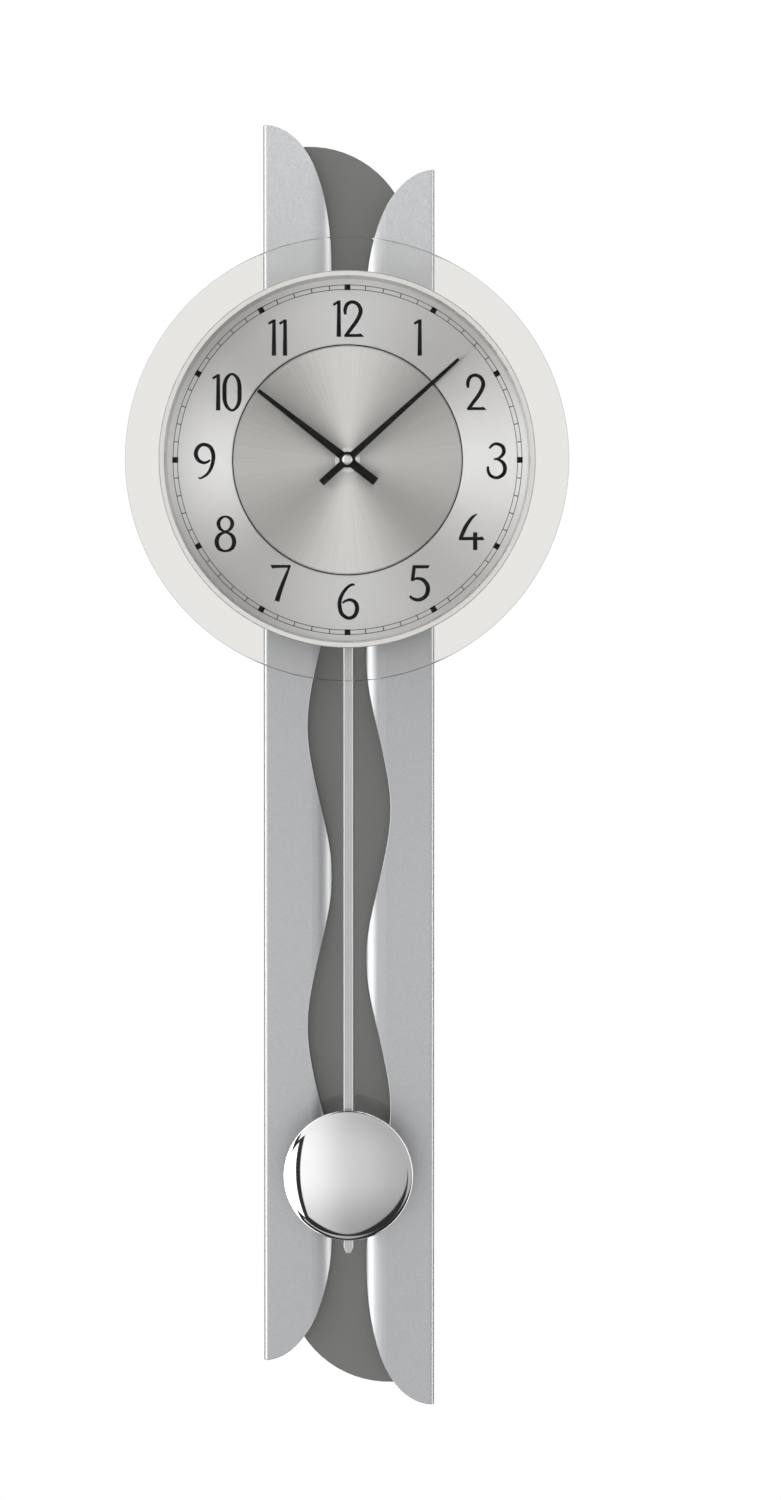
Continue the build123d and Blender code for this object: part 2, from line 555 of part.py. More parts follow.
def pinion_outline(teeth, module, first_angle):
    """A pinion's outline: radial leaves with pointed ends."""
    pitch = 360 / teeth
    pitch_radius = teeth * module / 2
    root, tip = pitch_radius - LEAF_DEDENDUM * module, pitch_radius + LEAF_ADDENDUM * module
    points = []
    for n in range(teeth):
        middle = first_angle + n * pitch
        half = PINION_SHARE * pitch / 2
        leaf = [(root, -half), (pitch_radius, -half), (tip, 0), (pitch_radius, half), (root, half)]
        points += [polar(radius, middle + turn) for radius, turn in leaf]
    return make_face(Polyline(*points, close=True))


def gap_facing(angle, teeth):
    """The first tooth's angle for a gear whose gap faces a mating gear at this angle."""
    return angle + 180 / teeth


def minute_arbor():
    foot = disc(ARBOR_FOOT_RADIUS, MOVEMENT_BACK + SHELL - FIT, ARBOR_SHOULDER)
    return foot + disc(ARBOR_RADIUS, ARBOR_SHOULDER, ARBOR_END)


def centre_wheel():
    teeth = wheel_outline(CENTRE_TEETH, TRAIN_MODULE, STEP_ANGLE)
    rim = block(teeth, CENTRE_WHEEL_BACK, CENTRE_WHEEL_FRONT)
    wheel = rim + disc(CENTRE_HUB_RADIUS, ARBOR_SHOULDER, CENTRE_HUB_FRONT)
    return wheel - bore(ARBOR_RADIUS)


def cannon_pinion():
    leaves = pinion_outline(CANNON_TEETH, MOTION_MODULE, MOTION_ANGLE)
    return block(leaves, CANNON_BACK, CANNON_FRONT) - bore(ARBOR_RADIUS)


def motion_wheel():
    x, z = motion_axis()
    toward = MOTION_ANGLE + 180
    teeth = wheel_outline(MOTION_TEETH, MOTION_MODULE, gap_facing(toward, MOTION_TEETH))
    wheel = block(teeth, MOTION_BACK, MOTION_FRONT, x, z)
    leaves = pinion_outline(MOTION_PINION_TEETH, HOUR_MODULE, toward)
    wheel += block(leaves, MOTION_FRONT, MOTION_LEAF_FRONT, x, z)
    return wheel + disc(MOTION_ARBOR_RADIUS, MOTION_ARBOR_BACK, MOTION_ARBOR_FRONT, x, z)


def setting_knob():
    x, z = motion_axis()
    knob = disc(KNOB_RADIUS, KNOB_BACK, KNOB_FRONT, x, z)
    for n in range(KNOB_GRIPS):
        across, up = polar(KNOB_RADIUS + GRIP_RADIUS / 3, 360 / KNOB_GRIPS * n)
        knob -= bore(GRIP_RADIUS, x + across, z + up)
    return knob - disc(MOTION_ARBOR_RADIUS, MOTION_ARBOR_BACK, THROUGH, x, z)


def hour_wheel():
    teeth = wheel_outline(HOUR_TEETH, HOUR_MODULE, gap_facing(MOTION_ANGLE, HOUR_TEETH))
    wheel = block(teeth, HOUR_WHEEL_BACK, HOUR_WHEEL_FRONT)
    return wheel + disc(HOUR_TUBE, HOUR_WHEEL_BACK, HOUR_TUBE_END) - bore(HOUR_BORE)


def fast_arbor(x, z):
    """The thin steel axle that a quick wheel turns on, between the shell and the bridge."""
    return disc(FAST_ARBOR_RADIUS, MOVEMENT_BACK + SHELL - FIT, BRIDGE_FRONT - FIT, x, z)


def intermediate_wheel():
    x, z = step_axis()
    wheel = wheel_outline(STEP_WHEEL_TEETH, ROTOR_MODULE, ROTOR_ANGLE)
    leaves = pinion_outline(STEP_PINION_TEETH, TRAIN_MODULE, gap_facing(STEP_ANGLE + 180, STEP_PINION_TEETH))
    body = block(wheel, STEP_WHEEL_BACK, STEP_WHEEL_FRONT, x, z)
    return body + block(leaves, STEP_WHEEL_FRONT, STEP_LEAF_FRONT, x, z) + fast_arbor(x, z)


def rotor_pinion():
    x, z = rotor_axis()
    leaves = pinion_outline(ROTOR_TEETH, ROTOR_MODULE, gap_facing(ROTOR_ANGLE + 180, ROTOR_TEETH))
    return block(leaves, ROTOR_LEAF_BACK, ROTOR_LEAF_FRONT, x, z) + fast_arbor(x, z)


def rotor_magnet():
    x, z = rotor_axis()
    return tube(MAGNET_RADIUS, FAST_ARBOR_RADIUS, MAGNET_BACK, MAGNET_FRONT, x, z)


def gear_bridge():
    """The inner plate that carries the front ends of the two fast arbors."""
    (left, low), (right, high) = BRIDGE_LOW, BRIDGE_HIGH
    bridge = box_between((left, BRIDGE_BACK, DIAL_Z + low), (right, BRIDGE_FRONT, DIAL_Z + high))
    bridge -= bore((MOTION_TEETH / 2 + WHEEL_ADDENDUM) * MOTION_MODULE + CLEAR, *motion_axis())
    for x, z in (step_axis(), rotor_axis()):
        bridge -= bore(FAST_ARBOR_RADIUS + FIT, x, z)
    return bridge


# ---- electrical pieces

def stator_plates():
    """Soft-iron plates round the rotor, leading down through the coil."""
    x, z = rotor_axis()
    half, foot = STATOR_HALF_WIDTH, DIAL_Z + STATOR_FOOT
    plate = box_between((x - half, IRON_BACK, foot), (x + half, IRON_FRONT, z + half))
    plate += box_between((x + half, IRON_BACK, foot), (x + STATOR_REACH, IRON_FRONT, foot + STATOR_LIMB))
    return plate - bore(STATOR_BORE, x, z)


def motor_coil():
    """The winding round the stator's lower limb."""
    start = rotor_axis()[0] + STATOR_REACH - MOTOR_COIL_LENGTH - CLEAR
    middle = DIAL_Z + STATOR_FOOT + STATOR_LIMB / 2
    end = Plane(origin=(start, -(IRON_BACK + IRON_FRONT) / 2, middle), z_dir=(1, 0, 0))
    return extrude(end * Circle(MOTOR_COIL_RADIUS), MOTOR_COIL_LENGTH) - stator_plates()


def circuit_board():
    (left, low), (right, high) = BOARD_LOW, BOARD_HIGH
    return box_between((left, CIRCUIT_BACK, DIAL_Z + low), (right, CIRCUIT_FRONT, DIAL_Z + high))


def circuit_chip():
    x, rise = [(a + b) / 2 for a, b in zip(BOARD_LOW, BOARD_HIGH)]
    return disc(CHIP_RADIUS, CIRCUIT_BACK - CHIP_HEIGHT, CIRCUIT_BACK, x, DIAL_Z + rise)


def quartz_crystal():
    x, z = BOARD_LOW[0] + 4 * CRYSTAL_RADIUS, DIAL_Z + BOARD_HIGH[1] - 6 * CRYSTAL_RADIUS
    can = Plane(origin=(x, CRYSTAL_RADIUS - CIRCUIT_BACK, z), z_dir=(1, 0, 0))
    return extrude(can * Circle(CRYSTAL_RADIUS), CRYSTAL_LENGTH)


def battery_contact(sign):
    """A sprung strip at one end of the cell."""
    near = DIAL_Z + sign * (BATTERY_LENGTH / 2 + BATTERY_ROOM)
    low, high = sorted((near, near + sign * CONTACT_SHEET))
    strip = box_between((BATTERY_X - CONTACT_HALF, CONTACT_BACK, low),
                        (BATTERY_X + CONTACT_HALF, CONTACT_FRONT, high))
    tab = box_between((BATTERY_X - CONTACT_TAB, CONTACT_FRONT - CONTACT_SHEET, low),
                      (BATTERY_X - CONTACT_HALF, CONTACT_FRONT, high))
    return strip + tab


def battery():
    base = Plane(origin=(BATTERY_X, -BATTERY_DEPTH, DIAL_Z - BATTERY_LENGTH / 2), z_dir=(0, 0, 1))
    length = BATTERY_LENGTH - BUTTON_HEIGHT
    can = fillet(extrude(base * Circle(BATTERY_RADIUS), length).edges(), BUTTON_HEIGHT / 2)
    return can + extrude(base.offset(length) * Circle(BUTTON_RADIUS), BUTTON_HEIGHT)


# ---- hands

def hand_outline(length, tail, root, tip):
    """A slim hand that points to twelve: tapered blade, round boss, blunt tail."""
    blade = Polyline((-root / 2, -tail), (-root / 2, 0), (-tip / 2, length),
                     (tip / 2, length), (root / 2, 0), (root / 2, -tail), close=True)
    return make_face(blade) + Circle(HAND_BOSS_RADIUS)


def hour_hand():
    outline = hand_outline(HOUR_LENGTH, HOUR_TAIL, HOUR_ROOT, HOUR_TIP)
    hand = block(Rotation(0, 0, -HOUR_ANGLE) * outline, HOUR_HAND_BACK, HOUR_HAND_BACK + HOUR_HAND_THICK)
    return hand - bore(HOUR_TUBE)


def minute_hand():
    outline = hand_outline(MINUTE_LENGTH, MINUTE_TAIL, MINUTE_ROOT, MINUTE_TIP)
    back = MINUTE_HAND_BACK
    hand = block(Rotation(0, 0, -MINUTE_ANGLE) * outline, back, back + MINUTE_HAND_THICK)
    return hand - bore(ARBOR_RADIUS)


def hand_cap():
    """A bright domed cap that closes the end of the minute arbor."""
    base = MINUTE_HAND_BACK + MINUTE_HAND_THICK
    cap = disc(CAP_RADIUS, base, base + CAP_HEIGHT)
    cap = fillet(cap.edges().sort_by(Axis.Y)[0], CAP_ROUND)
    return cap - disc(ARBOR_RADIUS, 0, ARBOR_END)


# ---- pendulum

def pendulum_pivot_pin():
    z = DIAL_Z + PIVOT_RISE
    pin = disc(PIVOT_RADIUS, PIVOT_HEAD_FRONT, MOVEMENT_BACK + 2 * SHELL, 0, z)
    return pin + disc(PIVOT_HEAD_RADIUS, PIVOT_HEAD_BACK, PIVOT_HEAD_FRONT, 0, z)


def pendulum_lever():
    """The hanging arm: a hub on the pin, a magnet seat and a peg for the rod."""
    z = DIAL_Z + PIVOT_RISE
    length = PIVOT_RISE + PEG_DROP
    arm = block(Pos(0, -length / 2) * Rectangle(LEVER_WIDTH, length), LEVER_BACK, LEVER_FRONT, 0, z)
    arm += disc(LEVER_WIDTH / 2, LEVER_BACK, LEVER_FRONT + LEVER_HUB, 0, z)
    arm += disc(MAGNET_SEAT_RADIUS, LEVER_BACK, LEVER_FRONT, 0, DIAL_Z + COIL_RISE)
    arm += disc(LEVER_WIDTH / 2, LEVER_BACK, LEVER_FRONT, 0, DIAL_Z - PEG_DROP)
    arm += disc(PEG_RADIUS, PEG_HEAD_FRONT, LEVER_BACK, 0, DIAL_Z - PEG_DROP)
    arm += disc(PEG_HEAD_RADIUS, PEG_HEAD_BACK, PEG_HEAD_FRONT, 0, DIAL_Z - PEG_DROP)
    return arm - bore(PIVOT_RADIUS + FIT, 0, z)


def pendulum_magnet():
    return disc(DRIVE_MAGNET_RADIUS, LEVER_FRONT, LEVER_FRONT + DRIVE_MAGNET_HEIGHT, 0, DIAL_Z + COIL_RISE)


def pendulum_drive_coil():
    back, z = MOVEMENT_BACK + SHELL, DIAL_Z + COIL_RISE
    return tube(DRIVE_COIL_RADIUS, DRIVE_COIL_BORE, back, back + DRIVE_COIL_HEIGHT, 0, z)


def pendulum_rod():
    """A flat strip with bevelled front edges, a hanging hole and a pointed foot."""
    half, point = ROD_WIDTH / 2, ROD_POINT_HALF
    top, foot = DIAL_Z - ROD_TOP_DROP, DIAL_Z - ROD_TIP_DROP
    outline = Polyline((-half, top), (half, top), (half, foot + ROD_POINT), (point, foot),
                       (-point, foot), (-half, foot + ROD_POINT), close=True)
    rod = block(make_face(outline), ROD_BACK, ROD_FRONT, 0, 0)
    rod = chamfer(rod.faces().sort_by(Axis.Y)[0].edges(), ROD_BEVEL)
    rod += disc(ROD_EYE_RADIUS, ROD_BACK, ROD_FRONT, 0, DIAL_Z - PEG_DROP)
    return rod - bore(PEG_RADIUS, 0, DIAL_Z - PEG_DROP)


def bob_dome(inset):
    """A shallow round crown that turns down at its rim, smaller all round by an inset."""
    radius, crown = BOB_RADIUS - inset, BOB_FRONT - inset
    rise, half = crown - BOB_RIM, radius / 2
    sphere = (radius**2 + rise**2) / (2 * rise)
    middle = (half, crown - sphere + (sphere**2 - half**2) ** 0.5)
    outline = [
        ThreePointArc((0, crown), middle, (radius, BOB_RIM)),
        Line((radius, BOB_RIM), (radius, BOB_JOIN)),
        Line((radius, BOB_JOIN), (0, BOB_JOIN)),
        Line((0, BOB_JOIN), (0, crown)),
    ]
    z = DIAL_Z - BOB_DROP
    plane = Plane(origin=(0, 0, z), x_dir=(1, 0, 0), z_dir=(0, 0, -1))
    return revolve(plane * make_face(outline), Axis((0, 0, z), (0, 1, 0)))


def bob_front_shell():
    return bob_dome(0) - bob_dome(BOB_SHEET)


def bob_back_shell():
    """A shallow dish that closes the back, its lip just inside the front shell's rim."""
    lip, floor = BOB_RADIUS - BOB_SHEET / 2, BOB_BACK + BACK_SHEET
    return turned([
        (0, BOB_BACK), (lip - BACK_SLOPE, BOB_BACK), (lip, BOB_JOIN - BACK_SHEET), (lip, BOB_JOIN),
        (lip - 1.5 * BACK_SHEET, BOB_JOIN), (lip - BACK_SLOPE - BACK_SHEET, floor), (0, floor),
    ], 0, DIAL_Z - BOB_DROP)


def bob_ballast():
    floor = BOB_BACK + BACK_SHEET
    return disc(BALLAST_RADIUS, floor, floor + BALLAST_HEIGHT, 0, DIAL_Z - BOB_DROP)


def bob_clip():
    """A folded strap on the bob's back that grips the rod."""
    z, tall, sheet = DIAL_Z - BOB_DROP, CLIP_HALF_HEIGHT, CLIP_SHEET
    half, far = ROD_WIDTH / 2, CLIP_HALF_WIDTH + CLEAR
    strap = box_between((-CLIP_HALF_WIDTH, ROD_BACK - sheet, z - tall), (CLIP_HALF_WIDTH, BOB_BACK, z + tall))
    strap -= box_between((-half, ROD_BACK, z - tall - CLEAR), (half, BOB_BACK + CLEAR, z + tall + CLEAR))
    for near, end in ((-far, -half - sheet), (half + sheet, far)):
        strap -= box_between((near, ROD_BACK - 2 * sheet, z - tall - CLEAR),
                             (end, BOB_BACK - sheet, z + tall + CLEAR))
    return strap


# ---- all the pieces

PIECES = {
    "back_board": back_board,
    "left_side_panel": left_side_panel,
    "right_side_panel": right_side_panel,
    "panel_spacers": lambda: spacers(panel_screw_places()),
    "panel_screws": lambda: [pan_screw(x, z, PANEL_FRONT - SHEET - CLEAR) for x, z in panel_screw_places()],
    "case_spacers": lambda: spacers(case_screw_places()),
    "case_screws": lambda: [pan_screw(x, z, CASE_BACK + CASE_SCREW_BITE) for x, z in case_screw_places()],
    "wall_hanger_plate": wall_hanger_plate,
    "hanger_screws": hanger_screws,
    "wall_bumpers": wall_bumpers,
    "dial_case": dial_case,
    "bezel_ring": bezel_ring,
    "ring_screws": ring_screws,
    "dial_plate": dial_plate,
    "dial_centre_disc": dial_centre_disc,
    "glass_disc": glass_disc,
    "movement_front_shell": movement_front_shell,
    "movement_back_shell": movement_back_shell,
    "threaded_bush": threaded_bush,
    "rubber_washer": lambda: tube(PAD_RADIUS, BUSH_RADIUS, MOVEMENT_FRONT, DIAL_BACK),
    "face_washer": lambda: tube(WASHER_RADIUS, BUSH_RADIUS, DIAL_FRONT, WASHER_FRONT),
    "hex_nut": hex_nut,
    "minute_arbor": minute_arbor,
    "centre_wheel": centre_wheel,
    "cannon_pinion": cannon_pinion,
    "motion_wheel": motion_wheel,
    "setting_knob": setting_knob,
    "hour_wheel": hour_wheel,
    "intermediate_wheel": intermediate_wheel,
    "rotor_pinion": rotor_pinion,
    "rotor_magnet": rotor_magnet,
    "gear_bridge": gear_bridge,
    "stator_plates": stator_plates,
    "motor_coil": motor_coil,
    "circuit_board": circuit_board,
    "circuit_chip": circuit_chip,
    "quartz_crystal": quartz_crystal,
    "battery_contact_positive": lambda: battery_contact(1),
    "battery_contact_negative": lambda: battery_contact(-1),
    "battery": battery,
    "hour_hand": hour_hand,
    "minute_hand": minute_hand,
    "hand_cap": hand_cap,
    "pendulum_pivot_pin": pendulum_pivot_pin,
    "pendulum_drive_coil": pendulum_drive_coil,
    "pendulum_lever": pendulum_lever,
    "pendulum_magnet": pendulum_magnet,
    "pendulum_rod": pendulum_rod,
    "bob_front_shell": bob_front_shell,
    "bob_back_shell": bob_back_shell,
    "bob_ballast": bob_ballast,
    "bob_clip": bob_clip,
}

for name, make in PIECES.items():
    made = make()
    write(name, *(made if isinstance(made, list) else [made]))
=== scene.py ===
# %% [markdown]
# # A pendulum wall clock, dressed for a studio picture
#
# The clock is already built as a CAD model: fifty-two named pieces, in metres, with +Z up and the
# front facing -Y. This notebook gives every piece its finish, remakes four of them as smooth
# surfaces worked out with numpy, prints the dial, and sets up the light and the camera.

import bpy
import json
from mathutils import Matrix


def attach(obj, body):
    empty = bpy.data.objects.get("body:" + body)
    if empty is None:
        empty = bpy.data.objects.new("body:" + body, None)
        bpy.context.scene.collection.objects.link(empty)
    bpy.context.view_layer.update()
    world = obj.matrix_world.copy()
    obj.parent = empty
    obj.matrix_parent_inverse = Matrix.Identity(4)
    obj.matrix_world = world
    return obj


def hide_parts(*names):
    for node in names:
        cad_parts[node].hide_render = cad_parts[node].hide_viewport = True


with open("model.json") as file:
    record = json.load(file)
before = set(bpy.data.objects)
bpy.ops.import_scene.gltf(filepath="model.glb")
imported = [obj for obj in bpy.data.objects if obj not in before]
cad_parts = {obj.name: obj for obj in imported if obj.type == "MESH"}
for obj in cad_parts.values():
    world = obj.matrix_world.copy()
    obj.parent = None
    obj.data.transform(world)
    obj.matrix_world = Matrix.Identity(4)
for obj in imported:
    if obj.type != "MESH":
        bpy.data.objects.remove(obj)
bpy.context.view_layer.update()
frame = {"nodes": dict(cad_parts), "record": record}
nodes = frame["nodes"]

# %% [markdown]
# ## Places that the steps share
#
# The dial's centre, the bob's centre and a few depths are used again and again. A depth counts
# millimetres from the wall towards the room, so it turns into y = -depth / 1000.

# %% Shared places
import json
from math import pi, radians

import bmesh
import bpy
import numpy as np
from mathutils import Vector

MM = 0.001
DIAL_Z = -110.0            # millimetres, like every number up to the line that makes a mesh
BOB_Z = DIAL_Z - 372.7
DIAL_FRONT = 82.0
CENTRE = (0.0, 0.0, DIAL_Z * MM)
print("dial centre", CENTRE, "bob height", BOB_Z * MM)

# %% [markdown]
# ## Surfaces from arrays
#
# A piece that is turned on a lathe, a stroke of printed ink and a minute line are all grids: one
# parameter runs along a path, the other round a section. So one helper takes a grid of points,
# joins neighbours into quads, closes it in the directions that are asked for, and marks corners
# sharper than 35 degrees so that flats stay flat and curves stay smooth.


# %% Helper: a grid of points becomes a mesh
SHARP_CORNER = radians(35)
SAME_PLACE = 1e-7          # metres between points that count as one


def grid_faces(rows, columns, close_rows, close_columns, start=0):
    """Quads between point (i, j) and its neighbours (i+1, j), (i+1, j+1), (i, j+1)."""
    i = np.arange(rows if close_rows else rows - 1)[:, None]
    j = np.arange(columns if close_columns else columns - 1)[None, :]
    near, far = i * columns, (i + 1) % rows * columns
    side = (j + 1) % columns
    quads = np.stack([near + j, far + j, far + side, near + side], axis=-1)
    return quads.reshape(-1, 4) + start


def weld(mesh):
    """Makes one point of points in the same place, such as those at the pole of a turned piece."""
    work = bmesh.new()
    work.from_mesh(mesh)
    bmesh.ops.remove_doubles(work, verts=work.verts, dist=SAME_PLACE)
    work.to_mesh(mesh)
    work.free()


def mesh_piece(name, points, faces, uv=None):
    """Points in millimetres (x, depth, z) become an object whose mesh is in metres, at its place."""
    places = points.reshape(-1, 3) * (MM, -MM, MM)
    mesh = bpy.data.meshes.new(name)
    mesh.from_pydata(places.tolist(), [], faces.tolist())
    if uv is not None:
        layer = mesh.uv_layers.new(name="around")
        layer.data.foreach_set("uv", uv.astype(np.float32).ravel())
    weld(mesh)
    mesh.polygons.foreach_set("use_smooth", np.ones(len(mesh.polygons), bool))
    mesh.set_sharp_from_angle(angle=SHARP_CORNER)
    piece = bpy.data.objects.new(name, mesh)
    bpy.context.scene.collection.objects.link(piece)
    print(f"{name}: {len(places)} points, {len(faces)} faces")
    return piece


# %% [markdown]
# ## Turned pieces
#
# The dial plate, its centre disc, the glass and the bob are all round about an axis square to the
# wall. Each could be a cylinder with a bevel, but a profile of (radius, depth) pairs carried round
# a circle keeps every edge where the drawing has it, and gives a map whose first coordinate goes
# round the piece. The brushed finishes need that map, because their shine stretches along or
# across it.


# %% Helper: a profile carried round a circle
def turned_piece(name, profile, z, around=256):
    """P(t, s) = (r(s) cos t, depth(s), z + r(s) sin t), closed in t.

    It is closed in s as well, unless the profile starts and ends on the axis, at the two poles.
    """
    profile = np.asarray(profile, float)
    on_axis = profile[0, 0] == profile[-1, 0] == 0
    t = np.linspace(0, 2 * pi, around, endpoint=False)[:, None]
    radius, depth = profile[None, :, 0], profile[None, :, 1]
    across, up = radius * np.cos(t), z + radius * np.sin(t)
    points = np.stack([across, depth + 0 * across, up], axis=-1)
    faces = grid_faces(around, len(profile), True, not on_axis)
    steps = np.linalg.norm(np.diff(profile, axis=0, append=profile[:1]), axis=1)
    v = np.concatenate([[0], np.cumsum(steps)]) / 100
    i, j = np.divmod(np.arange(len(faces)), len(faces) // around)
    corner_u = np.stack([i, i + 1, i + 1, i], axis=-1) / around
    corner_v = np.stack([v[j], v[j], v[j + 1], v[j + 1]], axis=-1)
    return mesh_piece(name, points, faces, np.stack([corner_u, corner_v], axis=-1))


def arc(centre, radius, start, end, steps=8):
    """Points on a circle from one angle to another, in degrees, for rounded profile corners."""
    angle = np.radians(np.linspace(start, end, steps))
    return np.stack([centre[0] + radius * np.cos(angle), centre[1] + radius * np.sin(angle)], axis=-1)


# %% [markdown]
# The dial plate is a thin aluminium sheet with a shallow round recess for the centre disc. The
# recess is a little wider than the disc, and the gap between them is the fine dark circle that
# parts the two brushed fields; a black ring of painted shade on its floor darkens it. Rows of the
# profile are repeated across the flats so that the stretched shine has enough points to follow.

# %% Dial plate and centre disc
DIAL_HOLE, DIAL_RADIUS, DIAL_BACK = 4.15, 93.8, 80.5
RECESS_RADIUS, RECESS_FLOOR, DISC_RADIUS = 59.8, 81.2, 58.5
PLATE_BEVEL, DISC_BEVEL = 0.15, 0.2


def flat_run(start, end, depth, steps):
    """A straight stretch of profile at one depth."""
    radius = np.linspace(start, end, steps)
    return np.stack([radius, np.full(steps, depth)], axis=-1)


dial_plate = turned_piece("brushed_dial_plate", np.concatenate([
    flat_run(DIAL_HOLE, DIAL_RADIUS, DIAL_BACK, 3),
    flat_run(DIAL_RADIUS, RECESS_RADIUS + PLATE_BEVEL, DIAL_FRONT, 9),
    [(RECESS_RADIUS, DIAL_FRONT - PLATE_BEVEL)],
    flat_run(RECESS_RADIUS, DIAL_HOLE, RECESS_FLOOR, 3),
]), DIAL_Z)
centre_disc = turned_piece("sunray_centre_disc", np.concatenate([
    flat_run(DIAL_HOLE, DISC_RADIUS, RECESS_FLOOR, 3),
    [(DISC_RADIUS, DIAL_FRONT - DISC_BEVEL)],
    flat_run(DISC_RADIUS - DISC_BEVEL, DIAL_HOLE, DIAL_FRONT, 12),
]), DIAL_Z)

# %% [markdown]
# The glass is a flat disc with ground and softened edges. It rests on the ring through a film of air
# four hundredths of a millimetre thick: where two surfaces lie exactly in one plane, light can't
# tell which comes first, and the satin ring under the glass would turn black. A narrow row of faces
# just inside each edge takes up the change of normal, so the wide flats don't bend light as a lens.

# %% Glass disc
GLASS_RADIUS, GLASS_FRONT, GLASS_BACK, GLASS_EDGE = 113.65, 100.0, 96.04, 0.5
GLASS_FLAT = GLASS_RADIUS - GLASS_EDGE - 0.3
rounded_edges = [
    arc((GLASS_RADIUS - GLASS_EDGE, GLASS_BACK + GLASS_EDGE), GLASS_EDGE, -90, 0, 5),
    arc((GLASS_RADIUS - GLASS_EDGE, GLASS_FRONT - GLASS_EDGE), GLASS_EDGE, 0, 90, 5),
]
glass_disc = turned_piece("clear_glass_disc", np.concatenate([
    flat_run(0, GLASS_FLAT, GLASS_BACK, 4),
    *rounded_edges,
    flat_run(GLASS_FLAT, 0, GLASS_FRONT, 4),
]), DIAL_Z, 360)

# %% [markdown]
# The bob's front is pressed from thin sheet and polished: a shallow round crown that turns down
# into a narrow rolled rim. The crown is part of a sphere whose radius follows from its width and
# its rise, (w^2 + h^2) / 2h. The roll at the rim is the thin bright line that frames the mirror.

# %% Bob
BOB_RADIUS, BOB_CROWN, BOB_JOIN, BOB_SHEET = 34.1, 70.0, 59.4, 0.8
ROLL, ROLL_END = 1.3, 64   # the rolled rim's radius, and how far round it goes in degrees


def crown(radius, rise, top, steps):
    """Points along a spherical crown from its rim to its middle."""
    sphere = (radius**2 + rise**2) / (2 * rise)
    r = radius * np.linspace(1, 0, steps)
    return np.stack([r, top - sphere + np.sqrt(sphere**2 - r**2)], axis=-1)


def bob_profile():
    """Out along the inner side of the sheet, round the rolled rim, and back over the crown."""
    rim, rise = BOB_RADIUS - ROLL, BOB_CROWN - BOB_JOIN - 2 * ROLL
    inner_wall = BOB_RADIUS - BOB_SHEET
    outside = crown(rim, rise, BOB_CROWN, 40)
    roll = arc((rim, BOB_JOIN + ROLL), ROLL, 0, ROLL_END, 9)
    inside = crown(rim - BOB_SHEET, rise, BOB_CROWN - BOB_SHEET, 24)[::-1]
    lip = [(inner_wall, BOB_JOIN + ROLL), (inner_wall, BOB_JOIN), (BOB_RADIUS, BOB_JOIN)]
    return np.concatenate([inside, lip, roll, outside[1:]])


bob_dome = turned_piece("polished_bob_dome", bob_profile(), BOB_Z, 320)

# %% [markdown]
# ## The printed numbers
#
# The numbers are black ink, drawn with a broad nib: slender strokes that swell on the sides of a
# bowl, thin over its top, and end in small wedges. They could be set in a font, but a font's forms
# would be wrong here. So each figure is a few strokes, and a stroke is a line of points with a nib
# width at each. Curved strokes run through their points on a Catmull-Rom curve, which needs no
# handles. All numbers are in millimetres from the figure's lower left corner.

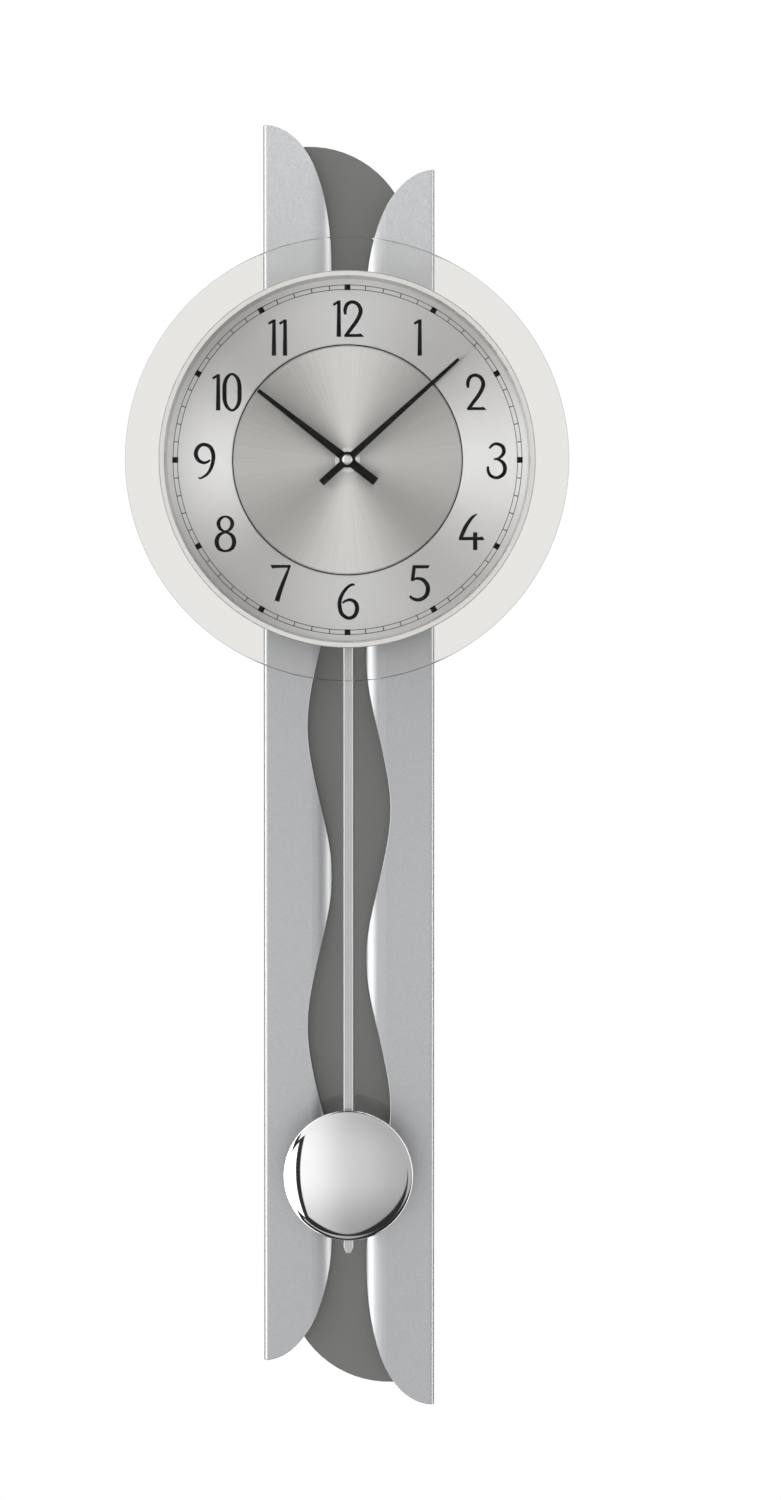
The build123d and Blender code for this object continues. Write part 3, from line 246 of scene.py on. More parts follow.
# %% Strokes of each figure: (curved or straight, [(across, up, nib width), ...])
CURVED, STRAIGHT = True, False
FIGURES = {
    "0": (9.3, [
        (CURVED, [(4.65, 18.7, 1.1), (7.2, 16.9, 1.5), (8.4, 13.5, 1.8), (8.5, 9.3, 1.9),
            (8.4, 5.2, 1.8), (7.2, 1.9, 1.5), (4.65, 0.0, 1.1), (2.1, 1.9, 1.5), (0.9, 5.2, 1.8),
            (0.8, 9.3, 1.9), (0.9, 13.5, 1.8), (2.1, 16.9, 1.5), (4.65, 18.7, 1.1)]),
    ]),
    "1": (4.2, [
        (STRAIGHT, [(3.25, 18.65, 1.5), (3.2, 0.0, 1.95)]),
        (STRAIGHT, [(3.75, 18.1, 1.0), (2.6, 17.75, 1.15), (0.35, 16.4, 1.1)]),
    ]),
    "2": (10.6, [
        (CURVED, [(0.9, 11.4, 1.1), (0.78, 14.0, 1.6), (1.93, 16.8, 1.6), (4.6, 17.9, 1.5),
            (7.3, 16.7, 1.6), (8.65, 14.2, 1.75), (8.45, 11.8, 1.8), (6.65, 8.1, 1.7), (3.8, 4.2, 1.65),
            (1.1, 0.5, 1.5)]),
        (STRAIGHT, [(0.3, 0.55, 1.1), (1.6, 0.68, 1.35), (7.6, 0.68, 1.3), (8.5, 0.85, 1.6),
            (10.5, 0.1, 0.1)]),
    ]),
    "3": (10.1, [
        (CURVED, [(1.3, 15.7, 0.9), (2.95, 17.5, 1.2), (5.2, 18.1, 1.35), (7.9, 16.9, 1.6),
            (8.8, 14.5, 1.7), (7.9, 12.1, 1.4), (5.6, 10.5, 1.0), (3.6, 10.3, 0.7)]),
        (CURVED, [(3.6, 10.2, 0.7), (6.0, 10.0, 1.1), (8.5, 8.2, 1.6), (9.35, 5.5, 1.8),
            (8.5, 2.5, 1.7), (5.3, 0.65, 1.4), (2.1, 1.7, 1.4), (0.7, 4.2, 1.3), (0.65, 6.5, 1.0)]),
    ]),
    "4": (13.5, [
        (CURVED, [(9.6, 18.6, 0.5), (7.1, 16.8, 1.3), (4.3, 13.0, 1.7), (2.4, 9.2, 1.8),
            (1.0, 5.6, 1.6)]),
        (STRAIGHT, [(0.2, 5.6, 0.9), (1.4, 5.95, 1.5), (11.3, 5.95, 1.45), (12.0, 6.1, 1.9),
            (13.5, 5.35, 0.1)]),
        (STRAIGHT, [(8.65, 9.2, 1.9), (8.65, 0.0, 1.95)]),
    ]),
    "5": (11.1, [
        (STRAIGHT, [(2.1, 17.75, 1.45), (9.4, 17.75, 1.45), (9.9, 17.9, 1.35), (10.9, 18.45, 0.1)]),
        (STRAIGHT, [(2.9, 18.4, 1.6), (1.9, 10.4, 1.6)]),
        (CURVED, [(1.5, 10.5, 0.6), (4.0, 11.7, 1.2), (7.2, 11.1, 1.6), (9.4, 8.6, 1.9),
            (9.9, 5.8, 1.95), (8.8, 2.7, 1.8), (5.6, 0.75, 1.6), (2.4, 1.2, 1.4), (0.5, 2.7, 1.1)]),
    ]),
    "6": (10.8, [
        (CURVED, [(8.6, 17.6, 0.5), (7.6, 18.1, 1.1), (5.3, 17.0, 1.25), (2.7, 14.0, 1.5),
            (1.05, 10.3, 1.7), (0.85, 6.7, 1.8), (1.9, 3.1, 1.75), (5.1, 0.8, 1.5), (8.4, 1.9, 1.7),
            (9.85, 5.5, 1.9), (9.0, 8.7, 1.7), (6.4, 10.2, 1.35), (3.8, 9.6, 1.1), (2.3, 8.5, 0.9)]),
    ]),
    "7": (10.6, [
        (STRAIGHT, [(0.0, 18.6, 0.1), (1.3, 17.75, 1.75), (2.6, 17.9, 1.4), (10.5, 18.0, 1.25)]),
        (CURVED, [(10.1, 18.4, 0.9), (8.4, 14.0, 1.35), (6.2, 8.5, 1.75), (4.6, 4.0, 2.0),
            (3.4, 0.0, 2.2)]),
    ]),
    "8": (10.9, [
        (CURVED, [(5.4, 18.3, 0.95), (7.9, 17.2, 1.4), (9.0, 14.7, 1.7), (7.9, 11.9, 1.4),
            (5.4, 10.6, 0.95), (2.9, 11.9, 1.4), (1.8, 14.7, 1.7), (2.9, 17.2, 1.4),
            (5.4, 18.3, 0.95)]),
        (CURVED, [(5.4, 10.1, 0.95), (8.7, 8.6, 1.6), (9.9, 5.25, 1.95), (8.7, 1.9, 1.6),
            (5.4, 0.5, 1.0), (2.1, 1.9, 1.6), (0.9, 5.25, 1.95), (2.1, 8.6, 1.6), (5.4, 10.1, 0.95)]),
    ]),
    "9": (11.1, [
        (CURVED, [(8.5, 9.8, 0.9), (6.9, 8.7, 1.1), (5.0, 8.4, 1.35), (2.4, 9.8, 1.65),
            (1.1, 13.0, 1.85), (2.4, 16.4, 1.7), (5.3, 17.8, 1.5), (8.5, 16.4, 1.7), (10.1, 12.6, 1.8),
            (9.6, 7.5, 1.6), (7.6, 3.3, 1.3), (5.0, 1.1, 1.0), (3.3, 0.4, 0.8), (2.3, 1.0, 0.4)]),
    ]),
}
NUMBER_PLACES = {      # the middle of each hour's number, across and up from the dial's centre
    "12": (0.5, 72.6), "1": (36.1, 62.9), "2": (66.5, 35.0), "3": (76.8, -0.5), "4": (63.9, -37.1),
    "5": (37.1, -63.4), "6": (0.5, -72.9), "7": (-34.5, -63.4), "8": (-62.9, -38.1), "9": (-73.7, -0.5),
    "10": (-62.3, 34.8), "11": (-36.1, 62.9),
}
FIGURE_GAP, FIGURE_HEIGHT = 1.5, 18.65
print("figures drawn:", len(FIGURES), "numbers:", len(NUMBER_PLACES))


# %% [markdown]
# A stroke becomes ink by giving its line a left and a right edge, half a nib away on either side
# of the direction it runs in. Ink spreads a little, so the nib is widened by nearly a fifth. A few
# hundredths of a millimetre of height keep the ink just proud of the metal, as real screen
# printing is.


# %% Helper: a stroke of ink
INK_SPREAD = 1.18          # how far ink runs past the nib


def smooth_line(points, steps=8):
    """Catmull-Rom: q(t) = (2b + (c-a)t + (2a-5b+4c-d)t^2 + (3b-3c+d-a)t^3) / 2 between b and c."""
    closed = np.allclose(points[0, :2], points[-1, :2])
    before = points[-2:-1] if closed else 2 * points[:1] - points[1:2]
    after = points[1:2] if closed else 2 * points[-1:] - points[-2:-1]
    padded = np.concatenate([before, points, after])
    a, b, c, d = (padded[k:len(padded) - 3 + k, None] for k in range(4))
    t = np.linspace(0, 1, steps, endpoint=False)[None, :, None]
    bend, twist = 2 * a - 5 * b + 4 * c - d, 3 * b - 3 * c + d - a
    curve = (2 * b + (c - a) * t + bend * t**2 + twist * t**3) / 2
    return np.concatenate([curve.reshape(-1, 3), points[-1:]])


def ink_stroke(line, back, front):
    """P = line + side * nib / 2, where side is the line's direction turned by a right angle."""
    centre, nib = line[:, :2], line[:, 2:] * INK_SPREAD
    run = np.gradient(centre, axis=0)
    if np.allclose(centre[0], centre[-1]):
        run[0] = run[-1] = run[0] + run[-1]
    side = np.stack([-run[:, 1], run[:, 0]], axis=-1) / np.linalg.norm(run, axis=1, keepdims=True)
    left, right = centre + side * nib / 2, centre - side * nib / 2
    corners = np.stack([left, left, right, right], axis=1)
    depths = np.array([back, front, front, back])[None, :] + np.zeros((len(line), 1))
    points = np.stack([corners[..., 0], depths, corners[..., 1]], axis=-1)
    quads = grid_faces(len(line), 4, False, True)
    last = 4 * (len(line) - 1)
    ends = [[0, 1, 2, 3], [last + 3, last + 2, last + 1, last]]
    return points.reshape(-1, 3), np.concatenate([quads, ends])


def joined(parts):
    """Several (points, faces) pairs as one, each part's face numbers moved past the ones before."""
    starts = np.cumsum([0] + [len(points) for points, _ in parts[:-1]])
    points = np.concatenate([points for points, _ in parts])
    return points, np.concatenate([faces + start for (_, faces), start in zip(parts, starts)])


# %% Print the twelve numbers
INK_HEIGHT = 0.02
INK_BACK, INK_FRONT = DIAL_FRONT - INK_HEIGHT, DIAL_FRONT + INK_HEIGHT
INK_STEP = 0.004           # each later stroke of a figure lies this much higher


def number_parts(label, middle):
    """The strokes of a one- or two-figure number, set side by side about its middle."""
    widths = [FIGURES[figure][0] for figure in label]
    left = middle[0] - (sum(widths) + FIGURE_GAP * (len(label) - 1)) / 2
    parts = []
    for figure, width in zip(label, widths):
        corner = (left, DIAL_Z + middle[1] - FIGURE_HEIGHT / 2, 0)
        for order, (curved, points) in enumerate(FIGURES[figure][1]):
            line = np.array(points, float)
            line = (smooth_line(line) if curved else line) + corner
            parts.append(ink_stroke(line, INK_BACK, INK_FRONT + order * INK_STEP))
        left += width + FIGURE_GAP
    return parts


numbers = mesh_piece("printed_numbers", *joined([
    part for label, middle in NUMBER_PLACES.items() for part in number_parts(label, middle)
]))

# %% [markdown]
# ## The minute track
#
# Two hairline circles carry sixty marks: a fine line at each minute and a small solid square at
# each five. The circles are profiles turned round the dial. The marks are one little box, copied
# to all the angles at once by multiplying its corners with all the directions in one step. A third
# circle, in the black of the ink, lies on the floor of the groove between the two brushed fields:
# it is painted shade, standing in for the shade in that gap.

# %% Minute track and painted groove shade
TRACK_INNER, TRACK_OUTER, HAIRLINE = 87.6, 89.9, 0.32
MINUTE_MARK, SQUARE, GROOVE_SHADE_WIDTH = 1.4 * HAIRLINE, 3.0, 0.65


def marks(angles, inner, outer, width):
    """Box corners at (r e + s n): e points out from the dial's centre at each angle, n across it."""
    angles = np.radians(angles)[:, None]
    r = np.array([inner, outer, outer, inner] * 2)[None, :]
    s = np.array([-1, -1, 1, 1] * 2)[None, :] * width / 2
    depth = np.repeat([INK_BACK, INK_FRONT], 4)[None, :] + 0 * angles
    across = r * np.sin(angles) + s * np.cos(angles)
    up = DIAL_Z + r * np.cos(angles) - s * np.sin(angles)
    points = np.stack([across, depth, up], axis=-1).reshape(-1, 3)
    box = np.array([[0, 1, 2, 3], [7, 6, 5, 4], [0, 4, 5, 1], [1, 5, 6, 2], [2, 6, 7, 3], [3, 7, 4, 0]])
    faces = (8 * np.arange(len(angles))[:, None, None] + box[None]).reshape(-1, 4)
    return points, faces[:, ::-1]


def ink_and_shade_circle(radius, width=HAIRLINE, sunk=0.0, around=360):
    """A thin square-edged ring, printed ink on the track and painted shade in the groove, as a profile of
    four corners turned round the dial.
    """
    half = width / 2
    r = np.array([radius - half, radius + half, radius + half, radius - half])[None, :]
    depth = np.array([INK_BACK, INK_BACK, INK_FRONT, INK_FRONT])[None, :] - sunk
    t = np.linspace(0, 2 * pi, around, endpoint=False)[:, None]
    points = np.stack([r * np.cos(t), depth + 0 * t, DIAL_Z + r * np.sin(t)], axis=-1)
    return points.reshape(-1, 3), grid_faces(around, 4, True, True)


minutes = np.arange(60) * 360 / 60
track_middle = (TRACK_INNER + TRACK_OUTER) / 2
track = mesh_piece("printed_minute_track_and_groove_shade", *joined([
    marks(minutes[minutes % 30 > 0], TRACK_INNER, TRACK_OUTER, MINUTE_MARK),
    marks(minutes[minutes % 30 == 0], track_middle - SQUARE / 2, track_middle + SQUARE / 2, SQUARE),
    ink_and_shade_circle(TRACK_INNER), ink_and_shade_circle(TRACK_OUTER),
    # painted shade: a black ring sunk on the groove floor, where the gap between plate and disc is in shade
    ink_and_shade_circle((RECESS_RADIUS + DISC_RADIUS) / 2, GROOVE_SHADE_WIDTH, DIAL_FRONT - RECESS_FLOOR),
]))

# %% [markdown]
# ## Helpers for finishes
#
# A finish is a small network: coordinates, a pattern, then the shader. These helpers keep the
# networks short. The effects that many finishes share are node groups with named sockets, each
# built once: grain in metal, turned rings, sunray streaks, painted shade on the four diagonals of a
# dial, dust that has settled on upward faces, and the faint marks of handling. Object coordinates
# are metres here, so the scales are large.


# %% Helpers for node networks
def wire(tree, **kinds):
    """Adds nodes by name: wire(tree, noise="ShaderNodeTexNoise") gives {"noise": node}."""
    return {name: tree.nodes.new(kind) for name, kind in kinds.items()}


def math_node(tree, operation, first, second=None):
    """A Math node whose inputs are other nodes' outputs or plain numbers."""
    node = tree.nodes.new("ShaderNodeMath")
    node.operation = operation
    for socket, value in zip(node.inputs, (first, second)):
        if isinstance(value, (int, float)):
            socket.default_value = value
        elif value is not None:
            tree.links.new(value, socket)
    return node.outputs[0]


def times(tree, first, second):
    """The product of two values."""
    return math_node(tree, "MULTIPLY", first, second)


def ramp(tree, value, low, high, to_low, to_high, smooth=True):
    """A Map Range node: value from low..high to to_low..to_high, eased at both ends."""
    node = tree.nodes.new("ShaderNodeMapRange")
    node.interpolation_type = "SMOOTHSTEP" if smooth else "LINEAR"
    tree.links.new(value, node.inputs["Value"])
    limits = (low, high, to_low, to_high)
    for name, limit in zip(("From Min", "From Max", "To Min", "To Max"), limits):
        node.inputs[name].default_value = limit
    return node.outputs["Result"]


def stretched(tree, noise):
    """A noise texture's middle range, where nearly all of its values lie, spread from 0 to 1."""
    return ramp(tree, noise.outputs[0], 0.3, 0.7, 0, 1, smooth=False)


def new_group(name, inputs, outputs):
    """An empty shader group with float and vector sockets, and its two end nodes."""
    tree = bpy.data.node_groups.new(name, "ShaderNodeTree")
    for label, value in inputs.items():
        kind = "NodeSocketVector" if isinstance(value, tuple) else "NodeSocketFloat"
        tree.interface.new_socket(label, in_out="INPUT", socket_type=kind).default_value = value
    for label in outputs:
        tree.interface.new_socket(label, in_out="OUTPUT", socket_type="NodeSocketFloat")
    ends = wire(tree, start="NodeGroupInput", end="NodeGroupOutput")
    print("group", name, "->", ", ".join(outputs))
    return tree, ends["start"], ends["end"]


# %% Group: grain that runs one way
def make_grain():
    """Noise on Object coordinates times Stretch: the smaller a number, the longer the grain."""
    sockets = {"Stretch": (600.0, 600.0, 600.0), "Detail": 3.0}
    tree, start, end = new_group("metal grain", sockets, ["Grain"])
    n = wire(tree, place="ShaderNodeTexCoord", scale="ShaderNodeVectorMath", noise="ShaderNodeTexNoise")
    n["scale"].operation = "MULTIPLY"
    n["noise"].inputs["Scale"].default_value = 1.0
    tree.links.new(n["place"].outputs["Object"], n["scale"].inputs[0])
    tree.links.new(start.outputs["Stretch"], n["scale"].inputs[1])
    tree.links.new(start.outputs["Detail"], n["noise"].inputs["Detail"])
    tree.links.new(n["scale"].outputs[0], n["noise"].inputs["Vector"])
    tree.links.new(stretched(tree, n["noise"]), end.inputs["Grain"])
    return tree


GRAIN = make_grain()


# %% Groups: turned rings and sunray streaks
def polar_parts(tree, centre):
    """Radius and unit direction about an axis square to the wall, through the Centre socket."""
    n = wire(tree, place="ShaderNodeTexCoord", offset="ShaderNodeVectorMath", flat="ShaderNodeVectorMath",
             length="ShaderNodeVectorMath", unit="ShaderNodeVectorMath")
    operations = {"offset": "SUBTRACT", "flat": "MULTIPLY", "length": "LENGTH", "unit": "NORMALIZE"}
    for name, operation in operations.items():
        n[name].operation = operation
    n["flat"].inputs[1].default_value = (1, 0, 1)
    tree.links.new(n["place"].outputs["Object"], n["offset"].inputs[0])
    tree.links.new(centre, n["offset"].inputs[1])
    tree.links.new(n["offset"].outputs[0], n["flat"].inputs[0])
    tree.links.new(n["flat"].outputs[0], n["length"].inputs[0])
    tree.links.new(n["flat"].outputs[0], n["unit"].inputs[0])
    return n["length"].outputs["Value"], n["unit"].outputs["Vector"]


def make_turned_rings():
    """One-dimensional noise of the radius alone, so each ring is one even shade."""
    tree, start, end = new_group("turned rings", {"Centre": CENTRE, "Rings per metre": 3000.0}, ["Rings"])
    radius, _ = polar_parts(tree, start.outputs["Centre"])
    noise = tree.nodes.new("ShaderNodeTexNoise")
    noise.noise_dimensions = "1D"
    noise.inputs["Scale"].default_value = 1.0
    tree.links.new(times(tree, radius, start.outputs["Rings per metre"]), noise.inputs["W"])
    tree.links.new(stretched(tree, noise), end.inputs["Rings"])
    return tree


def make_sunray():
    """Noise read on a circle: points that share a direction share a shade, so streaks run outwards."""
    tree, start, end = new_group("sunray streaks", {"Centre": CENTRE, "Streaks": 60.0}, ["Streak"])
    _, unit = polar_parts(tree, start.outputs["Centre"])
    n = wire(tree, scale="ShaderNodeVectorMath", noise="ShaderNodeTexNoise")
    n["scale"].operation = "SCALE"
    n["noise"].inputs["Scale"].default_value = 1.0
    n["noise"].inputs["Detail"].default_value = 4.0
    tree.links.new(unit, n["scale"].inputs[0])
    tree.links.new(start.outputs["Streaks"], n["scale"].inputs["Scale"])
    tree.links.new(n["scale"].outputs[0], n["noise"].inputs["Vector"])
    tree.links.new(stretched(tree, n["noise"]), end.inputs["Streak"])
    return tree


def make_painted_diagonal_shade():
    """Mask for painted shade: 4 x^2 z^2 of the unit direction, nought at twelve, three, six and nine, one
    half way between.
    """
    tree, start, end = new_group("diagonals", {"Centre": CENTRE}, ["Diagonal"])
    _, unit = polar_parts(tree, start.outputs["Centre"])
    split = tree.nodes.new("ShaderNodeSeparateXYZ")
    tree.links.new(unit, split.inputs[0])
    product = times(tree, split.outputs["X"], split.outputs["Z"])
    square = times(tree, product, product)
    tree.links.new(times(tree, square, 4.0), end.inputs["Diagonal"])
    return tree


RINGS, SUNRAY, PAINTED_DIAGONAL_SHADE = make_turned_rings(), make_sunray(), make_painted_diagonal_shade()


# %% Groups: settled dust and handling marks
def make_dust():
    """Where a face looks up, times soft noise: a film of dust on ledges, none on walls."""
    tree, start, end = new_group("settled dust", {"Amount": 0.2}, ["Dust"])
    n = wire(tree, place="ShaderNodeTexCoord", face="ShaderNodeNewGeometry", split="ShaderNodeSeparateXYZ",
             noise="ShaderNodeTexNoise")
    n["noise"].inputs["Scale"].default_value = 220.0
    tree.links.new(n["place"].outputs["Object"], n["noise"].inputs["Vector"])
    tree.links.new(n["face"].outputs["Normal"], n["split"].inputs[0])
    upward = ramp(tree, n["split"].outputs["Z"], 0.35, 0.95, 0, 1)
    patches = ramp(tree, n["noise"].outputs[0], 0.25, 0.7, 0.4, 1)
    mask = times(tree, upward, patches)
    mask = times(tree, mask, start.outputs["Amount"])
    tree.links.new(mask, end.inputs["Dust"])
    return tree


def make_marks():
    """Broad soft patches where fingers have dulled the surface, from low noise cut near its top."""
    tree, start, end = new_group("handling marks", {"Size per metre": 35.0, "Amount": 0.05}, ["Marks"])
    n = wire(tree, place="ShaderNodeTexCoord", noise="ShaderNodeTexNoise")
    n["noise"].inputs["Detail"].default_value = 5.0
    tree.links.new(n["place"].outputs["Object"], n["noise"].inputs["Vector"])
    tree.links.new(start.outputs["Size per metre"], n["noise"].inputs["Scale"])
    patches = ramp(tree, n["noise"].outputs[0], 0.48, 0.7, 0, 1)
    tree.links.new(times(tree, patches, start.outputs["Amount"]), end.inputs["Marks"])
    return tree


DUST, MARKS = make_dust(), make_marks()


# %% [markdown]
# ## One builder for every finish
#
# Metals, plastics and lacquer differ in a handful of numbers: the colour, how metallic and how
# rough they are, and how strongly the pattern shades, roughens and raises them. So one builder
# joins a pattern to a Principled shader, and each finish below is a single call with its own
# values. Dust lightens and dulls, handling marks dull.


# %% Helper: a finish
DUST_COLOUR = (0.55, 0.54, 0.52, 1)
DUST_DULLS = 0.5           # how much roughness a full film of dust adds
BUMP_STRENGTH = 0.5


def add_group(tree, group, **values):
    """Places a node group and sets its sockets; a name's underscores stand for spaces."""
    node = tree.nodes.new("ShaderNodeGroup")
    node.node_tree = group
    for name, value in values.items():
        node.inputs[name.replace("_", " ")].default_value = value
    return node.outputs[0]


def finish(name, colour, metallic, roughness, pattern=None, shade=0.06, rough=0.05, height=0.0,
           dust=0.15, marks=0.05, **shader_values):
    """Base Color = colour * (1 +- shade * pattern), Roughness = roughness +- rough * pattern."""
    material = bpy.data.materials.new(name)
    material.use_nodes = True
    tree = material.node_tree
    shader = tree.nodes["Principled BSDF"]
    group, values = pattern or (GRAIN, {"Stretch": (900.0, 900.0, 900.0)})
    value = add_group(tree, group, **values)
    tint = tree.nodes.new("ShaderNodeMix")
    tint.data_type = "RGBA"
    tint.inputs[6].default_value = tuple(c * (1 - shade) for c in colour) + (1,)
    tint.inputs[7].default_value = tuple(min(1, c * (1 + shade)) for c in colour) + (1,)
    tree.links.new(value, tint.inputs[0])
    film = tree.nodes.new("ShaderNodeMix")
    film.data_type = "RGBA"
    film.inputs[7].default_value = DUST_COLOUR
    dust_mask = add_group(tree, DUST, Amount=dust)
    tree.links.new(tint.outputs[2], film.inputs[6])
    tree.links.new(dust_mask, film.inputs[0])
    tree.links.new(film.outputs[2], shader.inputs["Base Color"])
    spread = ramp(tree, value, 0, 1, roughness - rough / 2, roughness + rough / 2, smooth=False)
    dulled = math_node(tree, "ADD", spread, add_group(tree, MARKS, Amount=marks))
    dulled = math_node(tree, "ADD", dulled, times(tree, dust_mask, DUST_DULLS))
    tree.links.new(dulled, shader.inputs["Roughness"])
    if height:
        bump = tree.nodes.new("ShaderNodeBump")
        bump.inputs["Distance"].default_value = height * MM
        bump.inputs["Strength"].default_value = BUMP_STRENGTH
        tree.links.new(value, bump.inputs["Height"])
        tree.links.new(bump.outputs[0], shader.inputs["Normal"])
    shader.inputs["Metallic"].default_value = metallic
    for socket, number in shader_values.items():
        shader.inputs[socket.replace("_", " ")].default_value = number
    return material


# %% [markdown]
# ## Silver and graphite: the body
#
# The side panels are aluminium sheet with a fine even satin grain, almost like frost. The board
# behind them is fibreboard under a dark grey-green gloss lacquer. A clear coat over a rougher base
# gives the lacquer its depth.

# %% Body finishes
def even(density):
    """Grain that is the same in every direction."""
    return GRAIN, {"Stretch": (density, density, density)}


def drawn(across, along):
    """Grain that runs up and down a piece."""
    return GRAIN, {"Stretch": (across, across, along)}


FINISHES = {
    "silver_aluminium": finish("satin silver sheet", (0.455, 0.46, 0.47), 1.0, 0.38, even(1300.0),
                               shade=0.06, rough=0.08, height=0.02, dust=0.1, marks=0.02),
    "graphite_lacquer": finish("graphite gloss lacquer", (0.130, 0.134, 0.126), 0.0, 0.45, even(2500.0),
                               shade=0.05, rough=0.05, dust=0.1, marks=0.0, Coat_Weight=1.0,
                               Coat_Roughness=0.015),
    "spacer_aluminium": finish("turned spacer aluminium", (0.62, 0.62, 0.63), 1.0, 0.30,
                               drawn(400.0, 4000.0)),
    "steel_screws": finish("zinc plated screws", (0.56, 0.56, 0.55), 1.0, 0.32, even(700.0),
                           shade=0.10, rough=0.12),
    "hanger_steel": finish("zinc plated hanger", (0.52, 0.53, 0.53), 1.0, 0.36, even(180.0),
                           shade=0.14, rough=0.16, marks=0.1),
    "pad_rubber": finish("black rubber", (0.035, 0.035, 0.036), 0.0, 0.85, even(1500.0),
                         shade=0.15, height=0.03),
    "case_plastic": finish("moulded dark grey case", (0.10, 0.10, 0.105), 0.0, 0.55, even(1600.0),
                           shade=0.10, height=0.02),
}
print("body finishes:", len(FINISHES))

# %% [markdown]
# ## The dial's three metals
#
# The ring round the dial is turned and left satin. The dial plate is brushed round and round, so
# each scratch is an arc and the shine spreads outwards from the centre: bright at three and nine.
# The centre disc is brushed outwards like rays, so its shine spreads round the circle: bright at
# twelve and six. The shader's anisotropy does this when its tangent follows the map that goes
# round each piece, and a quarter turn swaps the one for the other. The four diagonals are painted
# darker in the base colour, a painted shade that draws the cross of light out more clearly.


# %% Dial finishes
# colour of the painted shade on the four diagonals of each brushed dial field
PAINTED_SHADE_TINT = (1.0, 0.985, 0.97)      # the diagonals are a little warmer as well as darker


def brushed(material, amount, quarter_turn, diagonal_shade):
    """Stretches the shine round the piece, or outwards after a quarter turn; paints shade on the diagonals.
    """
    tree = material.node_tree
    shader = tree.nodes["Principled BSDF"]
    # painted shade: the base colour is multiplied darker on the four diagonals, standing in for the dark
    # parts of the brushed reflection
    painted_darkening = tree.nodes.new("ShaderNodeMix")
    painted_darkening.data_type = "RGBA"
    painted_darkening.blend_type = "MULTIPLY"
    painted_darkening.inputs[7].default_value = tuple(diagonal_shade * tint for tint in PAINTED_SHADE_TINT) + (1,)
    colour = shader.inputs["Base Color"].links[0].from_socket
    tree.links.new(add_group(tree, PAINTED_DIAGONAL_SHADE), painted_darkening.inputs[0])
    tree.links.new(colour, painted_darkening.inputs[6])
    tree.links.new(painted_darkening.outputs[2], shader.inputs["Base Color"])
    tangent = tree.nodes.new("ShaderNodeTangent")
    tangent.direction_type = "UV_MAP"
    tangent.uv_map = "around"
    tree.links.new(tangent.outputs[0], shader.inputs["Tangent"])
    shader.inputs["Anisotropic"].default_value = amount
    shader.inputs["Anisotropic Rotation"].default_value = 0.25 if quarter_turn else 0.0
    return material


FINISHES["ring_aluminium"] = finish("turned satin ring", (0.70, 0.69, 0.68), 1.0, 0.30,
                                    (RINGS, {"Rings_per_metre": 2500.0}), shade=0.04, dust=0.05)
# the last number of each brushed call is the painted shade: the base colour on the four diagonals is
# multiplied by it
FINISHES["dial_aluminium"] = brushed(
    finish("dial brushed in rings", (0.95, 0.95, 0.96), 1.0, 0.46, (RINGS, {"Rings_per_metre": 3600.0}),
           shade=0.025, rough=0.04, dust=0.0, marks=0.0),
    amount=1.0, quarter_turn=True, diagonal_shade=0.70)
FINISHES["centre_aluminium"] = brushed(
    finish("disc brushed in rays", (0.78, 0.772, 0.765), 1.0, 0.46, (SUNRAY, {"Streaks": 70.0}),
           shade=0.06, rough=0.05, dust=0.0, marks=0.0),
    amount=1.0, quarter_turn=False, diagonal_shade=0.66)
# this black also colours the painted shade ring in the groove between the dial's two fields
FINISHES["hand_black"] = finish("black ink and lacquer", (0.006, 0.007, 0.007), 0.0, 0.5, even(2000.0),
                                shade=0.2, dust=0.0, marks=0.02, Specular_IOR_Level=0.05)
print("dial finishes ready")

# %% [markdown]
# ## Glass
#
# The big disc is clear mineral glass, very slightly warm, four millimetres thick. It reflects
# little, as coated glass does, so the dial's black stays black. A real pane casts almost no shadow,
# but a refracting shader blocks the lamps' straight shadow rays. So for shadow rays alone the
# material is transparent, and what lies under it stays lit.


# %% Glass finish
GLASS_TINT, GLASS_SHADOW = (0.985, 0.982, 0.972, 1), (0.92, 0.92, 0.90, 1)
GLASS_IOR, GLASS_REFLECTION = 1.46, (0.12, 0.12, 0.12, 1)


def clear_glass():
    """Principled glass, mixed with a tinted transparent shader for shadow rays."""
    material = bpy.data.materials.new("clear mineral glass")
    material.use_nodes = True
    tree = material.node_tree
    shader = tree.nodes["Principled BSDF"]
    smears = add_group(tree, MARKS, Size_per_metre=18.0, Amount=0.02)
    tree.links.new(smears, shader.inputs["Roughness"])
    shader.inputs["Base Color"].default_value = GLASS_TINT
    shader.inputs["Transmission Weight"].default_value = 1.0
    shader.inputs["IOR"].default_value = GLASS_IOR
    shader.inputs["Specular Tint"].default_value = GLASS_REFLECTION
    n = wire(tree, path="ShaderNodeLightPath", clear="ShaderNodeBsdfTransparent", mix="ShaderNodeMixShader")
    n["clear"].inputs["Color"].default_value = GLASS_SHADOW
    tree.links.new(n["path"].outputs["Is Shadow Ray"], n["mix"].inputs[0])
    tree.links.new(shader.outputs[0], n["mix"].inputs[1])
    tree.links.new(n["clear"].outputs[0], n["mix"].inputs[2])
    tree.links.new(n["mix"].outputs[0], tree.nodes["Material Output"].inputs["Surface"])
    return material


FINISHES["clear_glass"] = clear_glass()

# %% [markdown]
# ## The pendulum
#
# The bob's dome and the cap on the hands are polished chrome: almost no roughness, only the
# faintest smears, so the studio is mirrored in them. The rod is an anodised strip with grain that
# runs down it. The bob's back, its clip and the weight inside stay plain pressed steel and iron.

